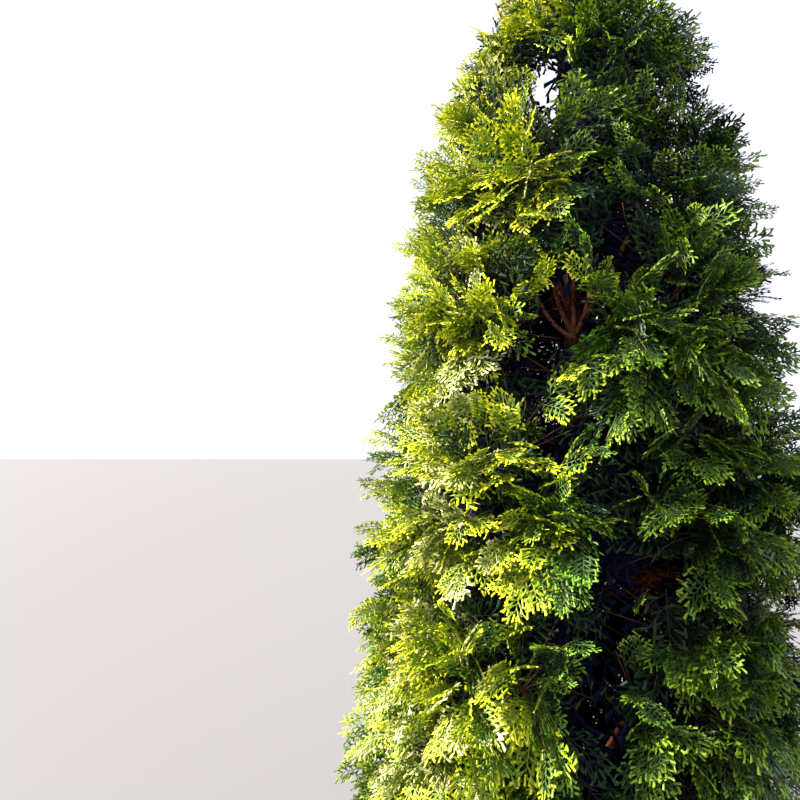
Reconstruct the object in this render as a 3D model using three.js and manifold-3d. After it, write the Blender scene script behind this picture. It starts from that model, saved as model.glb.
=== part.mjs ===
// An arborvitae: one upright, pyramid-shaped evergreen tree, rooted in the ground.
// The trunk runs whole from its flat cut at ground level up to its tip. Boughs climb from it in tiers,
// and each bears one dense mass of foliage: a stem, twigs that branch from it by a seeded rule, flat
// toothed sprays on the twigs, and a smaller core that the sprays stand out of.
// Millimetres, +Z up, with the origin at the middle of the trunk's cut foot.
import * as THREE from "three";
import { mergeVertices } from "three/addons/utils/BufferGeometryUtils.js";
import Module from "manifold-3d";

const wasm = await Module();
wasm.setup();

// The whole tree
const TREE_HEIGHT = 3800;
const CROWN_RADIUS = 748; // where the crown is widest
const WIDEST_HEIGHT = 750;
const CROWN_TAPER = 0.2; // share of the radius lost steadily on the way up
const CROWN_ROUNDING = 3; // how late the crown closes to its tip
const SKIRT_TUCK = 0.26; // share of the radius lost from the widest height down to the ground
const SKIRT_HEIGHT = 95; // the lowest tips above the ground
const FULLER_SIDE = 0.03; // the crown reaches this share further towards +X, and less towards -X

// The trunk
const TRUNK_TOP = 3400;
const TRUNK_RADIUS = 56;
const TRUNK_TIP_RADIUS = 7;
const TRUNK_TAPER = 0.85;
const FLARE_RADIUS = 44; // how far the root flare adds to the trunk's radius at the ground
const FLARE_HEIGHT = 85;
const FLARE_LOBES = 5;
const FLARE_LOBE_SHARE = 0.3;
const SWAY = new THREE.Vector2(22, 13); // how far the trunk wanders from upright
const SWAY_LENGTH = new THREE.Vector2(2800, 3300);
const TRUNK_SIDES = 15;
const TRUNK_STEPS = 16;
const TRUNK_STEP_GROWTH = 0.35; // its sections lie closer together at the flare by this share

// The tiers of boughs, from the lowest up. On the open side, each tier has a seam between two of its
// masses this far across from the trunk
const TIERS = [
  { boughs: 5, seam: 40 },
  { boughs: 5, seam: 90 },
  { boughs: 4, seam: 180 },
  { boughs: 4, seam: -20 },
  { boughs: 3, seam: 150 },
  { boughs: 3, seam: -50 },
];
const FIRST_TIER = 400;
const TIER_STEP = 560;
const TIER_SHRINK = 0.97; // each step up to the next tier is this share of the last
const TIER_JITTER = 70;
const TURN_JITTER = 0.16; // radians
const TOP_MASS_HEIGHT = 3520;

// A bough, from the trunk to the mass that it bears
const BOUGH_REACH = 0.34; // share of the crown's radius
const BOUGH_CLIMB = 450;
const BOUGH_LOW_CLIMB = 0.5; // share of the mass's height, for the lowest tier
const BOUGH_DROP = 150; // its tip, below the middle of its mass
const BOUGH_SAG = 0.14; // share of its length
const BOUGH_RADIUS = 17;
const BOUGH_TIP_RADIUS = 8.5;
const BOUGH_THINNING = 0.45; // share of its radius lost from the foot of the tree to the top
const BOUGH_SINK = 0.4; // it starts at this share of the trunk's radius, and is cut clear of the trunk
const BOUGH_SIDES = 5;
const BOUGH_STEPS = 4;

// The space of a mass of foliage
const MASS_REACH = 0.62; // its middle, as a share of the crown's radius
const INNER_BARE = 0.4; // inside this share of its radius the crown is bare limbs
const BULGE = 1.06; // the middle of a mass stands out of the crown's outline by this
const BULGE_DIP = 0.16; // and its edges fall back by this

// The core of a mass
const CORE_SKIN = 105; // between the core's hollows and the crown's outline
const CORE_LUMPS = 85; // how far its lumps stand out of that
const CORE_WALL = 9; // between the core and the space of the next mass
const CORE_MOST = 430;
const CORE_LEAST = 0.6; // share of the way to the outline that the core fills at the least

// The stem and twigs of a mass
const STEM_END = 0.74; // share of the crown's radius
const STEM_RISE = 110;
const STEM_TIP_RADIUS = 4;
const STEM_STEPS = 2;
const TWIGS = 7;
const TWIG_RADIUS = 5;
const TWIG_FIRST = 0.95; // where on the stem the straightest twig leaves it, and the widest one
const TWIG_LAST = 0.15;
const TWIG_SPREAD = 1.12; // radians between straight out from the trunk and the widest twig
const TWIG_SPREAD_JITTER = 0.1;
const TWIG_RISE = 0.12; // how far twigs turn up
const TWIG_STOP = 185; // a twig ends this far from the edge of the space
const TWIG_MOST = 330;

// A spray, a flat blade with teeth
const SPRAYS_ON_TWIG = 2;
const SPRAY_LENGTH = 215;
const SPRAY_LEAST = 60;
const SPRAY_SIZES = [1, 0.9, 0.8, 0.7, 0.6]; // tried in turn until one fits
const SPRAY_SEAT = 0.96; // share of the twig below the spray at its tip
const SPRAY_SPACING = 0.26; // and from each spray to the next one further in
const SPRAY_WIDTH = 0.62; // radians either side of its middle line
const SPRAY_TEETH = 3;
const SPRAY_SHOULDER = 0.24; // share of its length by which its outer teeth are shorter
const SPRAY_NOTCH = 0.7;
const SPRAY_RIDGE = 0.45; // share of its length to its thickest point
const SPRAY_THICKNESS = 0.05; // share of its length
const SPRAY_DROOP = 0.15;
const SPRAY_OPENING = 0.75; // radians between a twig and the sprays on its sides
const SPRAY_ROLL = 0.8; // radians either way, about its middle line
const SPRAY_FALL = -0.8; // how far sprays turn down at the foot of the tree
const SPRAY_LIFT = 1.1; // and up at its top

// Gaps in the crown, through which the trunk and the boughs show. All face OPEN_SIDE.
// across and up are the gap's middle beside the trunk and above the ground, wide and tall its half sizes
const OPEN_SIDE = new THREE.Vector3(-563, -2750, 1650);
const GAPS = {
  fork: { across: 7, up: 2110, wide: 95, tall: 88 },
  left_hollow: { across: -100, up: 1960, wide: 85, tall: 130 },
  upper_hollow: { across: 190, up: 2370, wide: 75, tall: 125 },
  trunk_slot: { across: -44, up: 1730, wide: 50, tall: 110 },
  dead_hollow: { across: 305, up: 1240, wide: 85, tall: 100 },
  foot_slot: { across: 95, up: 800, wide: 60, tall: 230 },
  sky_gap: { across: -48, up: 2885, wide: 32, tall: 75, through: true },
};
const GAP_SIDES = 7;
const GAP_START = 0.65; // where a gap starts and ends, as shares of the way to the trunk
const GAP_END = 1.35;

// Fitting
const JOIN_GAP = 0.3; // between a limb and what it carries or is carried by
const SPACE_MARGIN = 3; // between a mass and the edge of its own space
const LIMB_MARGIN = 2; // between foliage and a limb that it passes
const MERGE_DISTANCE = 1e-3;
const MARCH_STEP = 6;
const SEED = 1809;
const SEED_STEP = 7919;
const PLACES_IN_TIER = 10;
const GOLDEN_ANGLE = Math.PI * (3 - Math.sqrt(5));
const UP = new THREE.Vector3(0, 0, 1);

const barkMaterial = new THREE.MeshStandardMaterial({ color: 0x6b4a3a, roughness: 0.9, metalness: 0 });
const boughMaterial = new THREE.MeshStandardMaterial({ color: 0x7a4a35, roughness: 0.85, metalness: 0 });
const foliageMaterial = new THREE.MeshStandardMaterial({ color: 0x5d8a22, roughness: 0.5, metalness: 0 });

// A run of numbers from 0 to 1 that is the same each time for the same seed
function seeded(seed) {
  const MULTIPLIER = 48271;
  const MODULUS = 2147483647;
  let state = seed % MODULUS;
  return () => {
    state = (state * MULTIPLIER) % MODULUS;
    return state / MODULUS;
  };
}

// Shape of the trunk and the crown

function trunkCentre(z) {
  return new THREE.Vector3(
    -SWAY.x * Math.sin((2 * Math.PI * z) / SWAY_LENGTH.x),
    SWAY.y * Math.sin((2 * Math.PI * z) / SWAY_LENGTH.y),
    z,
  );
}

function trunkRadius(z, angle = 0) {
  const left = Math.max(0, 1 - z / TRUNK_TOP);
  const stem = TRUNK_TIP_RADIUS + (TRUNK_RADIUS - TRUNK_TIP_RADIUS) * left ** TRUNK_TAPER;
  const lobes = 1 + FLARE_LOBE_SHARE * Math.cos(FLARE_LOBES * angle);
  return stem + FLARE_RADIUS * lobes * Math.exp(-z / FLARE_HEIGHT);
}

function crownRadius(z, azimuth) {
  const side = 1 + FULLER_SIDE * Math.cos(azimuth);
  if (z < WIDEST_HEIGHT) {
    return CROWN_RADIUS * side * (1 - SKIRT_TUCK * (1 - z / WIDEST_HEIGHT) ** 2);
  }
  const climb = Math.min(1, (z - WIDEST_HEIGHT) / (TREE_HEIGHT - WIDEST_HEIGHT));
  return CROWN_RADIUS * side * (1 - CROWN_TAPER * climb) * (1 - climb ** CROWN_ROUNDING);
}

function outward(azimuth) {
  return new THREE.Vector3(Math.cos(azimuth), Math.sin(azimuth), 0);
}

function crownPoint(share, azimuth, z) {
  return trunkCentre(z).addScaledVector(outward(azimuth), share * crownRadius(z, azimuth));
}

// The gaps

const ACROSS = new THREE.Vector3(-OPEN_SIDE.x, -OPEN_SIDE.y, 0).normalize().cross(UP);

function gapLine(gap) {
  return new THREE.Vector3(0, 0, gap.up).addScaledVector(ACROSS, gap.across).sub(OPEN_SIDE);
}

function inGap(point) {
  return Object.values(GAPS).some((gap) => {
    const line = gapLine(gap);
    const away = point.clone().sub(OPEN_SIDE);
    const share = away.dot(line) / line.lengthSq();
    if (share > 1 && !gap.through) return false;
    const off = away.addScaledVector(line, -share);
    return (off.dot(ACROSS) / gap.wide) ** 2 + (off.z / gap.tall) ** 2 < share ** 2;
  });
}

// A gap as a slender cone that widens from the open side to the trunk, or on through the whole crown
function gapSolid(gap) {
  const line = gapLine(gap);
  const end = gap.through ? GAP_END : 1;
  const geometry = new THREE.CylinderGeometry(1, 1, 1, GAP_SIDES, 1);
  const position = geometry.attributes.position;
  const local = new THREE.Vector3();
  for (let i = 0; i < position.count; i++) {
    local.fromBufferAttribute(position, i);
    const share = THREE.MathUtils.lerp(GAP_START, end, local.y + 0.5);
    const point = OPEN_SIDE.clone()
      .addScaledVector(line, share)
      .addScaledVector(ACROSS, gap.wide * local.x * share)
      .addScaledVector(UP, gap.tall * local.z * share);
    position.setXYZ(i, point.x, point.y, point.z);
  }
  return solidOf(geometry);
}

// Layout of the masses. Each looks ahead, away from the trunk, and keeps to its side of the walls
// halfway to every other mass

function tierHeight(tier) {
  return FIRST_TIER + (TIER_STEP * (1 - TIER_SHRINK ** tier)) / (1 - TIER_SHRINK);
}

function tierMass(tier, place) {
  const { boughs, seam } = TIERS[tier];
  const random = seeded(SEED + SEED_STEP * (PLACES_IN_TIER * tier + place + 1));
  const seamAzimuth = Math.atan2(OPEN_SIDE.y, OPEN_SIDE.x) + seam / CROWN_RADIUS;
  const turn = (place + 0.5) * ((2 * Math.PI) / boughs);
  const azimuth = seamAzimuth + turn + TURN_JITTER * (random() - 0.5);
  const height = tierHeight(tier) + TIER_JITTER * (random() - 0.5);
  const ahead = outward(azimuth);
  return {
    name: `${tier + 1}_${place + 1}`,
    azimuth,
    height,
    halfArc: Math.PI / boughs,
    halfHeight: TIER_STEP / 2,
    middle: crownPoint(MASS_REACH, azimuth, height),
    ahead,
    side: ahead.clone().cross(UP),
    random,
  };
}

function topMass() {
  return {
    name: "top",
    height: TOP_MASS_HEIGHT,
    middle: trunkCentre(TOP_MASS_HEIGHT),
    ahead: UP,
    side: new THREE.Vector3(1, 0, 0),
    random: seeded(SEED),
    isTop: true,
  };
}

function wallBetween(mass, other) {
  const normal = mass.middle.clone().sub(other.middle).normalize();
  const halfway = mass.middle.clone().lerp(other.middle, 0.5);
  return new THREE.Plane().setFromNormalAndCoplanarPoint(normal, halfway);
}

function layOutMasses() {
  const masses = [topMass()];
  TIERS.forEach(({ boughs }, tier) => {
    for (let place = 0; place < boughs; place++) masses.push(tierMass(tier, place));
  });
  masses.forEach((mass) => {
    const others = masses.filter((other) => other !== mass);
    mass.walls = others.map((other) => wallBetween(mass, other));
  });
  return masses;
}

// How far a mass reaches at a point, for the crown's radius there: most at its middle, least at its edges
function bulge(mass, azimuth, z) {
  if (mass.isTop) return 1;
  const turn = Math.atan2(Math.sin(azimuth - mass.azimuth), Math.cos(azimuth - mass.azimuth));
  const off = (turn / mass.halfArc) ** 2 + ((z - mass.height) / mass.halfHeight) ** 2;
  return BULGE - BULGE_DIP * Math.min(1, off);
}

// True if a point is inside the crown's outline where a mass fills it, and outside the bare middle
function inCrown(mass, point) {
  const centre = trunkCentre(point.z);
  const azimuth = Math.atan2(point.y - centre.y, point.x - centre.x);
  const away = Math.hypot(point.x - centre.x, point.y - centre.y);
  const reach = crownRadius(point.z, azimuth);
  return (
    point.z > SKIRT_HEIGHT &&
    away < reach * bulge(mass, azimuth, point.z) &&
    (mass.isTop || away > reach * INNER_BARE)
  );
}

// True if a point is in the space that a mass keeps to
function inSpace(mass, point) {
  return (
    inCrown(mass, point) &&
    mass.walls.every((wall) => wall.distanceToPoint(point) > SPACE_MARGIN) &&
    !inGap(point)
  );
}

// How far one can go from a point while a test holds
function roomAhead(holds, from, direction, most) {
  const point = new THREE.Vector3();
  for (let gone = MARCH_STEP; gone <= most; gone += MARCH_STEP) {
    point.copy(from).addScaledVector(direction, gone);
    if (!holds(point)) return gone - MARCH_STEP;
  }
  return most;
}

// Solids

// The same surface with each corner held once
function merge(geometry) {
  const bare = geometry.clone();
  bare.deleteAttribute("normal");
  bare.deleteAttribute("uv");
  return mergeVertices(bare, MERGE_DISTANCE);
}

function solidOf(geometry) {
  const merged = merge(geometry);
  return new wasm.Manifold(
    new wasm.Mesh({
      numProp: 3,
      vertProperties: merged.attributes.position.array,
      triVerts: new Uint32Array(merged.index.array),
    }),
  );
}

function geometryOf(solid) {
  const mesh = solid.getMesh();
  const geometry = new THREE.BufferGeometry();
  geometry.setAttribute("position", new THREE.BufferAttribute(mesh.vertProperties, 3));
  geometry.setIndex(new THREE.BufferAttribute(mesh.triVerts, 1));
  geometry.computeVertexNormals();
  return geometry;
}

// A closed cylinder bent so that its middle line follows centreAt, with frameAt giving the two directions
// across it, and radiusAt its radius at each share of the way and angle round
function limbSolid(centreAt, frameAt, radiusAt, sides, steps) {
  const geometry = new THREE.CylinderGeometry(1, 1, 1, sides, steps);
  const position = geometry.attributes.position;
  const local = new THREE.Vector3();
  for (let i = 0; i < position.count; i++) {
    local.fromBufferAttribute(position, i);
    const share = local.y + 0.5;
    const [u, w] = frameAt(share);
    const radius = radiusAt(share, Math.atan2(local.z, local.x));
    const point = centreAt(share)
      .addScaledVector(u, local.x * radius)
      .addScaledVector(w, local.z * radius);
    position.setXYZ(i, point.x, point.y, point.z);
  }
  return solidOf(geometry);
}

// A round limb along a curve, tapering from one radius to another, and longer at its tip by overshoot
function taperedLimb({ curve, side, radius, tipRadius, steps, overshoot = 0 }) {
  const frameAt = (share) => {
    const tangent = curve.getTangent(share);
    const u = side.clone().addScaledVector(tangent, -side.dot(tangent)).normalize();
    return [u, u.clone().cross(tangent)];
  };
  return limbSolid(
    (share) => curve.getPoint(share).addScaledVector(curve.getTangent(share), share * overshoot),
    frameAt,
    (share) => THREE.MathUtils.lerp(radius, tipRadius, share),
    BOUGH_SIDES,
    steps,
  );
}

// The trunk, with its sections level so that its foot is cut flat at the ground. A margin makes the
// larger shape that its neighbours are cut clear of
function trunkSolid(margin = 0) {
  const top = margin ? TRUNK_TOP + JOIN_GAP : TRUNK_TOP;
  const level = [new THREE.Vector3(1, 0, 0), new THREE.Vector3(0, -1, 0)];
  const heightAt = (share) => top * (share - TRUNK_STEP_GROWTH * (share - share ** 3));
  return limbSolid(
    (share) => trunkCentre(heightAt(share)),
    () => level,
    (share, angle) => trunkRadius(heightAt(share), angle) + margin,
    TRUNK_SIDES,
    TRUNK_STEPS,
  );
}

// Radius of a bough's foot or tip, less for a higher bough
function thinned(radius, mass) {
  return radius * (1 - BOUGH_THINNING * (mass.height / TREE_HEIGHT));
}

// A bough's middle line, from inside the trunk to the foot of its mass
function boughCurve(mass) {
  const climb = Math.min(BOUGH_CLIMB, BOUGH_LOW_CLIMB * mass.height);
  const tip = crownPoint(BOUGH_REACH, mass.azimuth, mass.height - BOUGH_DROP * (climb / BOUGH_CLIMB));
  const rootHeight = mass.height - climb;
  const root = trunkCentre(rootHeight).addScaledVector(mass.ahead, BOUGH_SINK * trunkRadius(rootHeight));
  const bend = root.clone().lerp(tip, 0.5).addScaledVector(UP, -BOUGH_SAG * root.distanceTo(tip));
  return new THREE.QuadraticBezierCurve3(root, bend, tip);
}

function boughSolid(mass, margin = 0) {
  return taperedLimb({
    curve: boughCurve(mass),
    side: mass.side,
    radius: thinned(BOUGH_RADIUS, mass) + margin,
    tipRadius: thinned(BOUGH_TIP_RADIUS, mass) + margin,
    steps: BOUGH_STEPS,
    overshoot: margin ? JOIN_GAP : 0,
  });
}

// The stem's middle line, from just clear of the bough or trunk that bears the mass
function stemCurve(mass) {
  if (mass.isTop) {
    const foot = trunkCentre(TRUNK_TOP + JOIN_GAP);
    const tip = trunkCentre(TREE_HEIGHT);
    return new THREE.QuadraticBezierCurve3(foot, foot.clone().lerp(tip, 0.5), tip);
  }
  const bough = boughCurve(mass);
  const onward = bough.getTangent(1);
  const foot = bough.getPoint(1).addScaledVector(onward, JOIN_GAP);
  const tip = crownPoint(STEM_END, mass.azimuth, mass.height + STEM_RISE);
  const bend = foot.clone().addScaledVector(onward, 0.5 * foot.distanceTo(tip));
  return new THREE.QuadraticBezierCurve3(foot, bend, tip);
}

function stemSolid(mass) {
  return taperedLimb({
    curve: stemCurve(mass),
    side: mass.side,
    radius: mass.isTop ? TRUNK_TIP_RADIUS : thinned(BOUGH_TIP_RADIUS, mass),
    tipRadius: STEM_TIP_RADIUS,
    steps: STEM_STEPS,
  });
}

// The core, a lumpy body inside the crown's outline, cut flat beside the next masses
function coreSolid(mass, gaps) {
  const geometry = merge(new THREE.IcosahedronGeometry(1, 1));
  const position = geometry.attributes.position;
  const direction = new THREE.Vector3();
  const holds = (point) => inCrown(mass, point);
  for (let i = 0; i < position.count; i++) {
    direction.fromBufferAttribute(position, i).normalize();
    const room = roomAhead(holds, mass.middle, direction, CORE_MOST);
    const radius = Math.max(room - CORE_SKIN + CORE_LUMPS * mass.random(), room * CORE_LEAST);
    const point = mass.middle.clone().addScaledVector(direction, radius);
    position.setXYZ(i, point.x, point.y, point.z);
  }
  const round = solidOf(geometry);
  const walled = mass.walls.reduce(
    (core, wall) => core.trimByPlane(wall.normal.toArray(), CORE_WALL - wall.constant),
    round,
  );
  return gaps.reduce((core, gap) => core.subtract(gap), walled);
}

// The twigs of a mass, each a golden angle on from the last. The straightest leaves the stem near its tip,
// the widest near its foot
function twigPlans(mass) {
  const stem = stemCurve(mass);
  const lift = mass.side.clone().cross(mass.ahead);
  const holds = (point) => inSpace(mass, point);
  return Array.from({ length: TWIGS }, (_, i) => {
    const wide = Math.sqrt((i + 0.5) / TWIGS);
    const turn = i * GOLDEN_ANGLE + mass.height;
    const spread = TWIG_SPREAD * wide * (1 + TWIG_SPREAD_JITTER * (2 * mass.random() - 1));
    const from = stem.getPoint(THREE.MathUtils.lerp(TWIG_FIRST, TWIG_LAST, wide));
    const direction = mass.ahead
      .clone()
      .multiplyScalar(Math.cos(spread))
      .addScaledVector(mass.side, Math.sin(spread) * Math.cos(turn))
      .addScaledVector(lift, Math.sin(spread) * Math.sin(turn))
      .addScaledVector(UP, TWIG_RISE)
      .normalize();
    const room = roomAhead(holds, from, direction, TWIG_MOST + TWIG_STOP);
    return { from, direction, length: Math.max(room - TWIG_STOP, MARCH_STEP) };
  });
}

// A slender twig, a three-sided cone
function twigSolid({ from, direction, length }) {
  const cone = new THREE.ConeGeometry(TWIG_RADIUS, length, 3, 1);
  cone.translate(0, length / 2, 0);
  cone.applyQuaternion(new THREE.Quaternion().setFromUnitVectors(new THREE.Vector3(0, 1, 0), direction));
  cone.translate(from.x, from.y, from.z);
  return solidOf(cone);
}

// The sprays of a twig: one goes on from its tip, and the next open to its sides further in
function sprayPlans(mass, twig) {
  const across = UP.clone().cross(twig.direction).normalize();
  return Array.from({ length: SPRAYS_ON_TWIG }, (_, i) => {
    const opening = i === 0 ? 0 : SPRAY_OPENING * (-1) ** i;
    const along = twig.length * (SPRAY_SEAT - SPRAY_SPACING * i);
    const seat = twig.from.clone().addScaledVector(twig.direction, along);
    const rise = THREE.MathUtils.lerp(SPRAY_FALL, SPRAY_LIFT, seat.z / TREE_HEIGHT);
    const direction = twig.direction
      .clone()
      .multiplyScalar(Math.cos(opening))
      .addScaledVector(across, Math.sin(opening))
      .addScaledVector(UP, rise)
      .normalize();
    const roll = SPRAY_ROLL * (2 * mass.random() - 1);
    const flat = UP.clone().cross(direction).normalize().applyAxisAngle(direction, roll);
    return { seat, direction, across: flat };
  });
}

// The outline of a spray and its two raised middles. The teeth fan out from the root, and all of it droops
// towards them
function sprayPoints(root, { direction, across }, length) {
  const normal = direction.clone().cross(across);
  const at = (reach, angle, lift = 0) =>
    root
      .clone()
      .addScaledVector(direction, reach * Math.cos(angle))
      .addScaledVector(across, reach * Math.sin(angle))
      .addScaledVector(normal, lift)
      .addScaledVector(UP, (-SPRAY_DROOP * (reach * Math.cos(angle)) ** 2) / length);
  const outline = [root];
  for (let tooth = 0; tooth < SPRAY_TEETH; tooth++) {
    const turn = (2 * tooth) / (SPRAY_TEETH - 1) - 1;
    const reach = length * (1 - SPRAY_SHOULDER * turn ** 2);
    outline.push(at(reach, SPRAY_WIDTH * turn));
    if (tooth < SPRAY_TEETH - 1) {
      outline.push(at(reach * SPRAY_NOTCH, SPRAY_WIDTH * (turn + 1 / (SPRAY_TEETH - 1))));
    }
  }
  const lift = (SPRAY_THICKNESS * length) / 2;
  const ridge = length * SPRAY_RIDGE;
  return { outline, middles: [at(ridge, 0, lift), at(ridge, 0, -lift)] };
}

function spraySolid({ outline, middles }) {
  const [above, below] = [outline.length, outline.length + 1];
  const index = outline.flatMap((_, i) => {
    const next = (i + 1) % outline.length;
    return [i, next, above, next, i, below];
  });
  const geometry = new THREE.BufferGeometry().setFromPoints([...outline, ...middles]);
  geometry.setIndex(index);
  return solidOf(geometry);
}

function isClear(solid, limbs) {
  return limbs.every((limb) => solid.intersect(limb).isEmpty());
}

// The largest spray that stays in the mass's space with its tip at the edge, or null. A shorter one has
// its root further out, still in the core
function fittedSpray(mass, plan, limbs) {
  const holds = (point) => inSpace(mass, point);
  const room = roomAhead(holds, plan.seat, plan.direction, SPRAY_LENGTH + TWIG_STOP);
  for (const size of SPRAY_SIZES) {
    const length = Math.min(SPRAY_LENGTH * size, room);
    if (length < SPRAY_LEAST) return null;
    const root = plan.seat.clone().addScaledVector(plan.direction, room - length);
    const points = sprayPoints(root, plan, length);
    if ([...points.outline.slice(1), ...points.middles].every(holds)) {
      const solid = spraySolid(points);
      if (isClear(solid, limbs)) return solid;
    }
  }
  return null;
}

// A mass: all its pieces joined, cut clear of the limbs that it passes, without loose scraps
function foliageSolid(mass, limbs, gaps) {
  const pieces = [stemSolid(mass), coreSolid(mass, gaps)];
  for (const twig of twigPlans(mass)) {
    const solid = twigSolid(twig);
    const sprays = sprayPlans(mass, twig).map((plan) => fittedSpray(mass, plan, limbs));
    if (isClear(solid, limbs)) pieces.push(solid, ...sprays.filter(Boolean));
  }
  const joined = wasm.Manifold.union(pieces);
  const clear = limbs.reduce((foliage, limb) => foliage.subtract(limb), joined);
  return clear.decompose().sort((a, b) => b.volume() - a.volume())[0];
}

// The tree

function buildTree() {
  const tree = new THREE.Group();
  const add = (name, solid, material) => {
    const mesh = new THREE.Mesh(geometryOf(solid), material);
    mesh.name = name;
    tree.add(mesh);
  };
  const masses = layOutMasses();
  const carried = masses.filter((mass) => !mass.isTop);
  const limbs = [trunkSolid(LIMB_MARGIN), ...carried.map((mass) => boughSolid(mass, LIMB_MARGIN))];
  const gaps = Object.values(GAPS).map(gapSolid);
  add("trunk", trunkSolid(), barkMaterial);
  carried.forEach((mass) => {
    add(`bough_${mass.name}`, boughSolid(mass).subtract(trunkSolid(JOIN_GAP)), boughMaterial);
  });
  masses.forEach((mass) => {
    add(`foliage_${mass.name}`, foliageSolid(mass, limbs, gaps), foliageMaterial);
  });
  return tree;
}

export default buildTree();
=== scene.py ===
"""An arborvitae, an upright evergreen tree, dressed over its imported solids.

Every mass of foliage grows again here by the rule of the part's source, and is carried on to finer
twigs: bough, stem, twig, shoot, and flat sprays of small branchlets along each shoot. The sprays are
joined into one piece for each tier of the crown. A trunk and boughs with the relief of their bark
stand for the plain ones. Metres, +Z up, with the origin at the middle of the trunk's cut foot.
"""

import math

import bpy
import numpy as np
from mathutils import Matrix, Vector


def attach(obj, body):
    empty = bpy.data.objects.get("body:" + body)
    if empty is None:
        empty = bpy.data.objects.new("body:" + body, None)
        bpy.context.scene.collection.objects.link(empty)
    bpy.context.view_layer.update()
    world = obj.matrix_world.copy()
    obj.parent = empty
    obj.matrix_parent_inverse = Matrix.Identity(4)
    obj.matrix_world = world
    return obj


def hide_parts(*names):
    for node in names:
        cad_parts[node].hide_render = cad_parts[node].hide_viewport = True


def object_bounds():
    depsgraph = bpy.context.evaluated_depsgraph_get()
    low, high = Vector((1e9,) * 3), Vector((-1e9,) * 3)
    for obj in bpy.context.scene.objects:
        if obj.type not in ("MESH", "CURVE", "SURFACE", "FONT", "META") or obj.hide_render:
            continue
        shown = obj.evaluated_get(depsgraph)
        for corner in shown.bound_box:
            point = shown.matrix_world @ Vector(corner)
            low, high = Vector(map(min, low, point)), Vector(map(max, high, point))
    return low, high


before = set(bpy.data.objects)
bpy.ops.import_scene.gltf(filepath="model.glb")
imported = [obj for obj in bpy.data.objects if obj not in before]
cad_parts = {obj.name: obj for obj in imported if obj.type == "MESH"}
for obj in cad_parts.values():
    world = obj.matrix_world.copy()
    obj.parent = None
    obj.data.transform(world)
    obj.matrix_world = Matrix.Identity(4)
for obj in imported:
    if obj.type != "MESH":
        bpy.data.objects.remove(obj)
CAD_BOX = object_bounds()

# The whole tree, as in the source
TREE_HEIGHT = 3.8
CROWN_RADIUS = 0.748
WIDEST_HEIGHT = 0.75
CROWN_TAPER = 0.2
CROWN_ROUNDING = 3
SKIRT_TUCK = 0.26
SKIRT_HEIGHT = 0.095
FULLER_SIDE = 0.03

# The trunk, as in the source
TRUNK_TOP = 3.4
TRUNK_RADIUS = 0.056
TRUNK_TIP_RADIUS = 0.007
TRUNK_TAPER = 0.85
FLARE_RADIUS = 0.044
FLARE_HEIGHT = 0.085
FLARE_LOBES = 5
FLARE_LOBE_SHARE = 0.3
SWAY = (0.022, 0.013)
SWAY_LENGTH = (2.8, 3.3)

# The tiers of boughs, as in the source: how many, and how far across the seam on the open side lies
TIERS = [(5, 0.040), (5, 0.090), (4, 0.180), (4, -0.020), (3, 0.150), (3, -0.050)]
FIRST_TIER = 0.4
TIER_STEP = 0.56
TIER_SHRINK = 0.97
TIER_JITTER = 0.07
TURN_JITTER = 0.16
TOP_MASS_HEIGHT = 3.52

# A bough, as in the source
BOUGH_REACH = 0.34
BOUGH_CLIMB = 0.45
BOUGH_LOW_CLIMB = 0.5
BOUGH_DROP = 0.15
BOUGH_SAG = 0.14
BOUGH_RADIUS = 0.017
BOUGH_TIP_RADIUS = 0.0085
BOUGH_THINNING = 0.45
BOUGH_SINK = 0.4

# The space of a mass, its stem and its main twigs, as in the source
MASS_REACH = 0.62
INNER_BARE = 0.4
BULGE = 1.06
BULGE_DIP = 0.16
CORE_DRAWS = 42
STEM_END = 0.74
STEM_RISE = 0.11
STEM_TIP_RADIUS = 0.004
TWIGS = 7
TWIG_RADIUS = 0.005
TWIG_FIRST = 0.95
TWIG_LAST = 0.15
TWIG_SPREAD = 1.12
TWIG_SPREAD_JITTER = 0.1
TWIG_RISE = 0.12
TWIG_STOP = 0.185
TWIG_MOST = 0.33
SPRAYS_ON_TWIG = 2
SPRAY_LENGTH = 0.215
SPRAY_LEAST = 0.06
SPRAY_SEAT = 0.96
SPRAY_SPACING = 0.26
SPRAY_OPENING = 0.75
SPRAY_ROLL = 0.8
SPRAY_FALL = -0.8
SPRAY_LIFT = 1.1

# The gaps in the crown, as in the source: across, up, wide, tall, and whether it goes right through
OPEN_SIDE = np.array([-0.563, -2.75, 1.65])
GAPS = [
    (0.007, 2.110, 0.095, 0.088, False),
    (-0.100, 1.960, 0.085, 0.130, False),
    (0.190, 2.370, 0.075, 0.125, False),
    (-0.044, 1.730, 0.050, 0.110, False),
    (0.305, 1.240, 0.085, 0.100, False),
    (0.095, 0.800, 0.060, 0.230, False),
    (-0.048, 2.885, 0.032, 0.075, True),
]

# Small measures and seeds, as in the source
SPACE_MARGIN = 0.003
JOIN_GAP = 0.0003
MARCH_STEP = 0.006
STEM_BEND = 0.5  # of the way to its tip, where a stem bends
TURN_BY_HEIGHT = 1000  # so that the twigs of each mass start from another side
SEED = 1809
SEED_STEP = 7919
PLACES_IN_TIER = 10
MULTIPLIER = 48271
MODULUS = 2147483647
GOLDEN_ANGLE = math.pi * (3 - math.sqrt(5))
UP = np.array([0.0, 0.0, 1.0])

# Seeds of this script's own draws: for each mass, the bark, the boughs and the dead twigs
OWN_SEED_STEP = 100
BARK_SEED = SEED + 1
BOUGH_SEED = SEED + 2
DEAD_SEED = SEED + 3

# So small that they hardly move a thing: they keep a division or a direction from failing
SHORTEST = 1e-12
ROUND_OFF = 1e-9
NUDGE = 1e-6
SIDE_NUDGE = 1e-3

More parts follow.
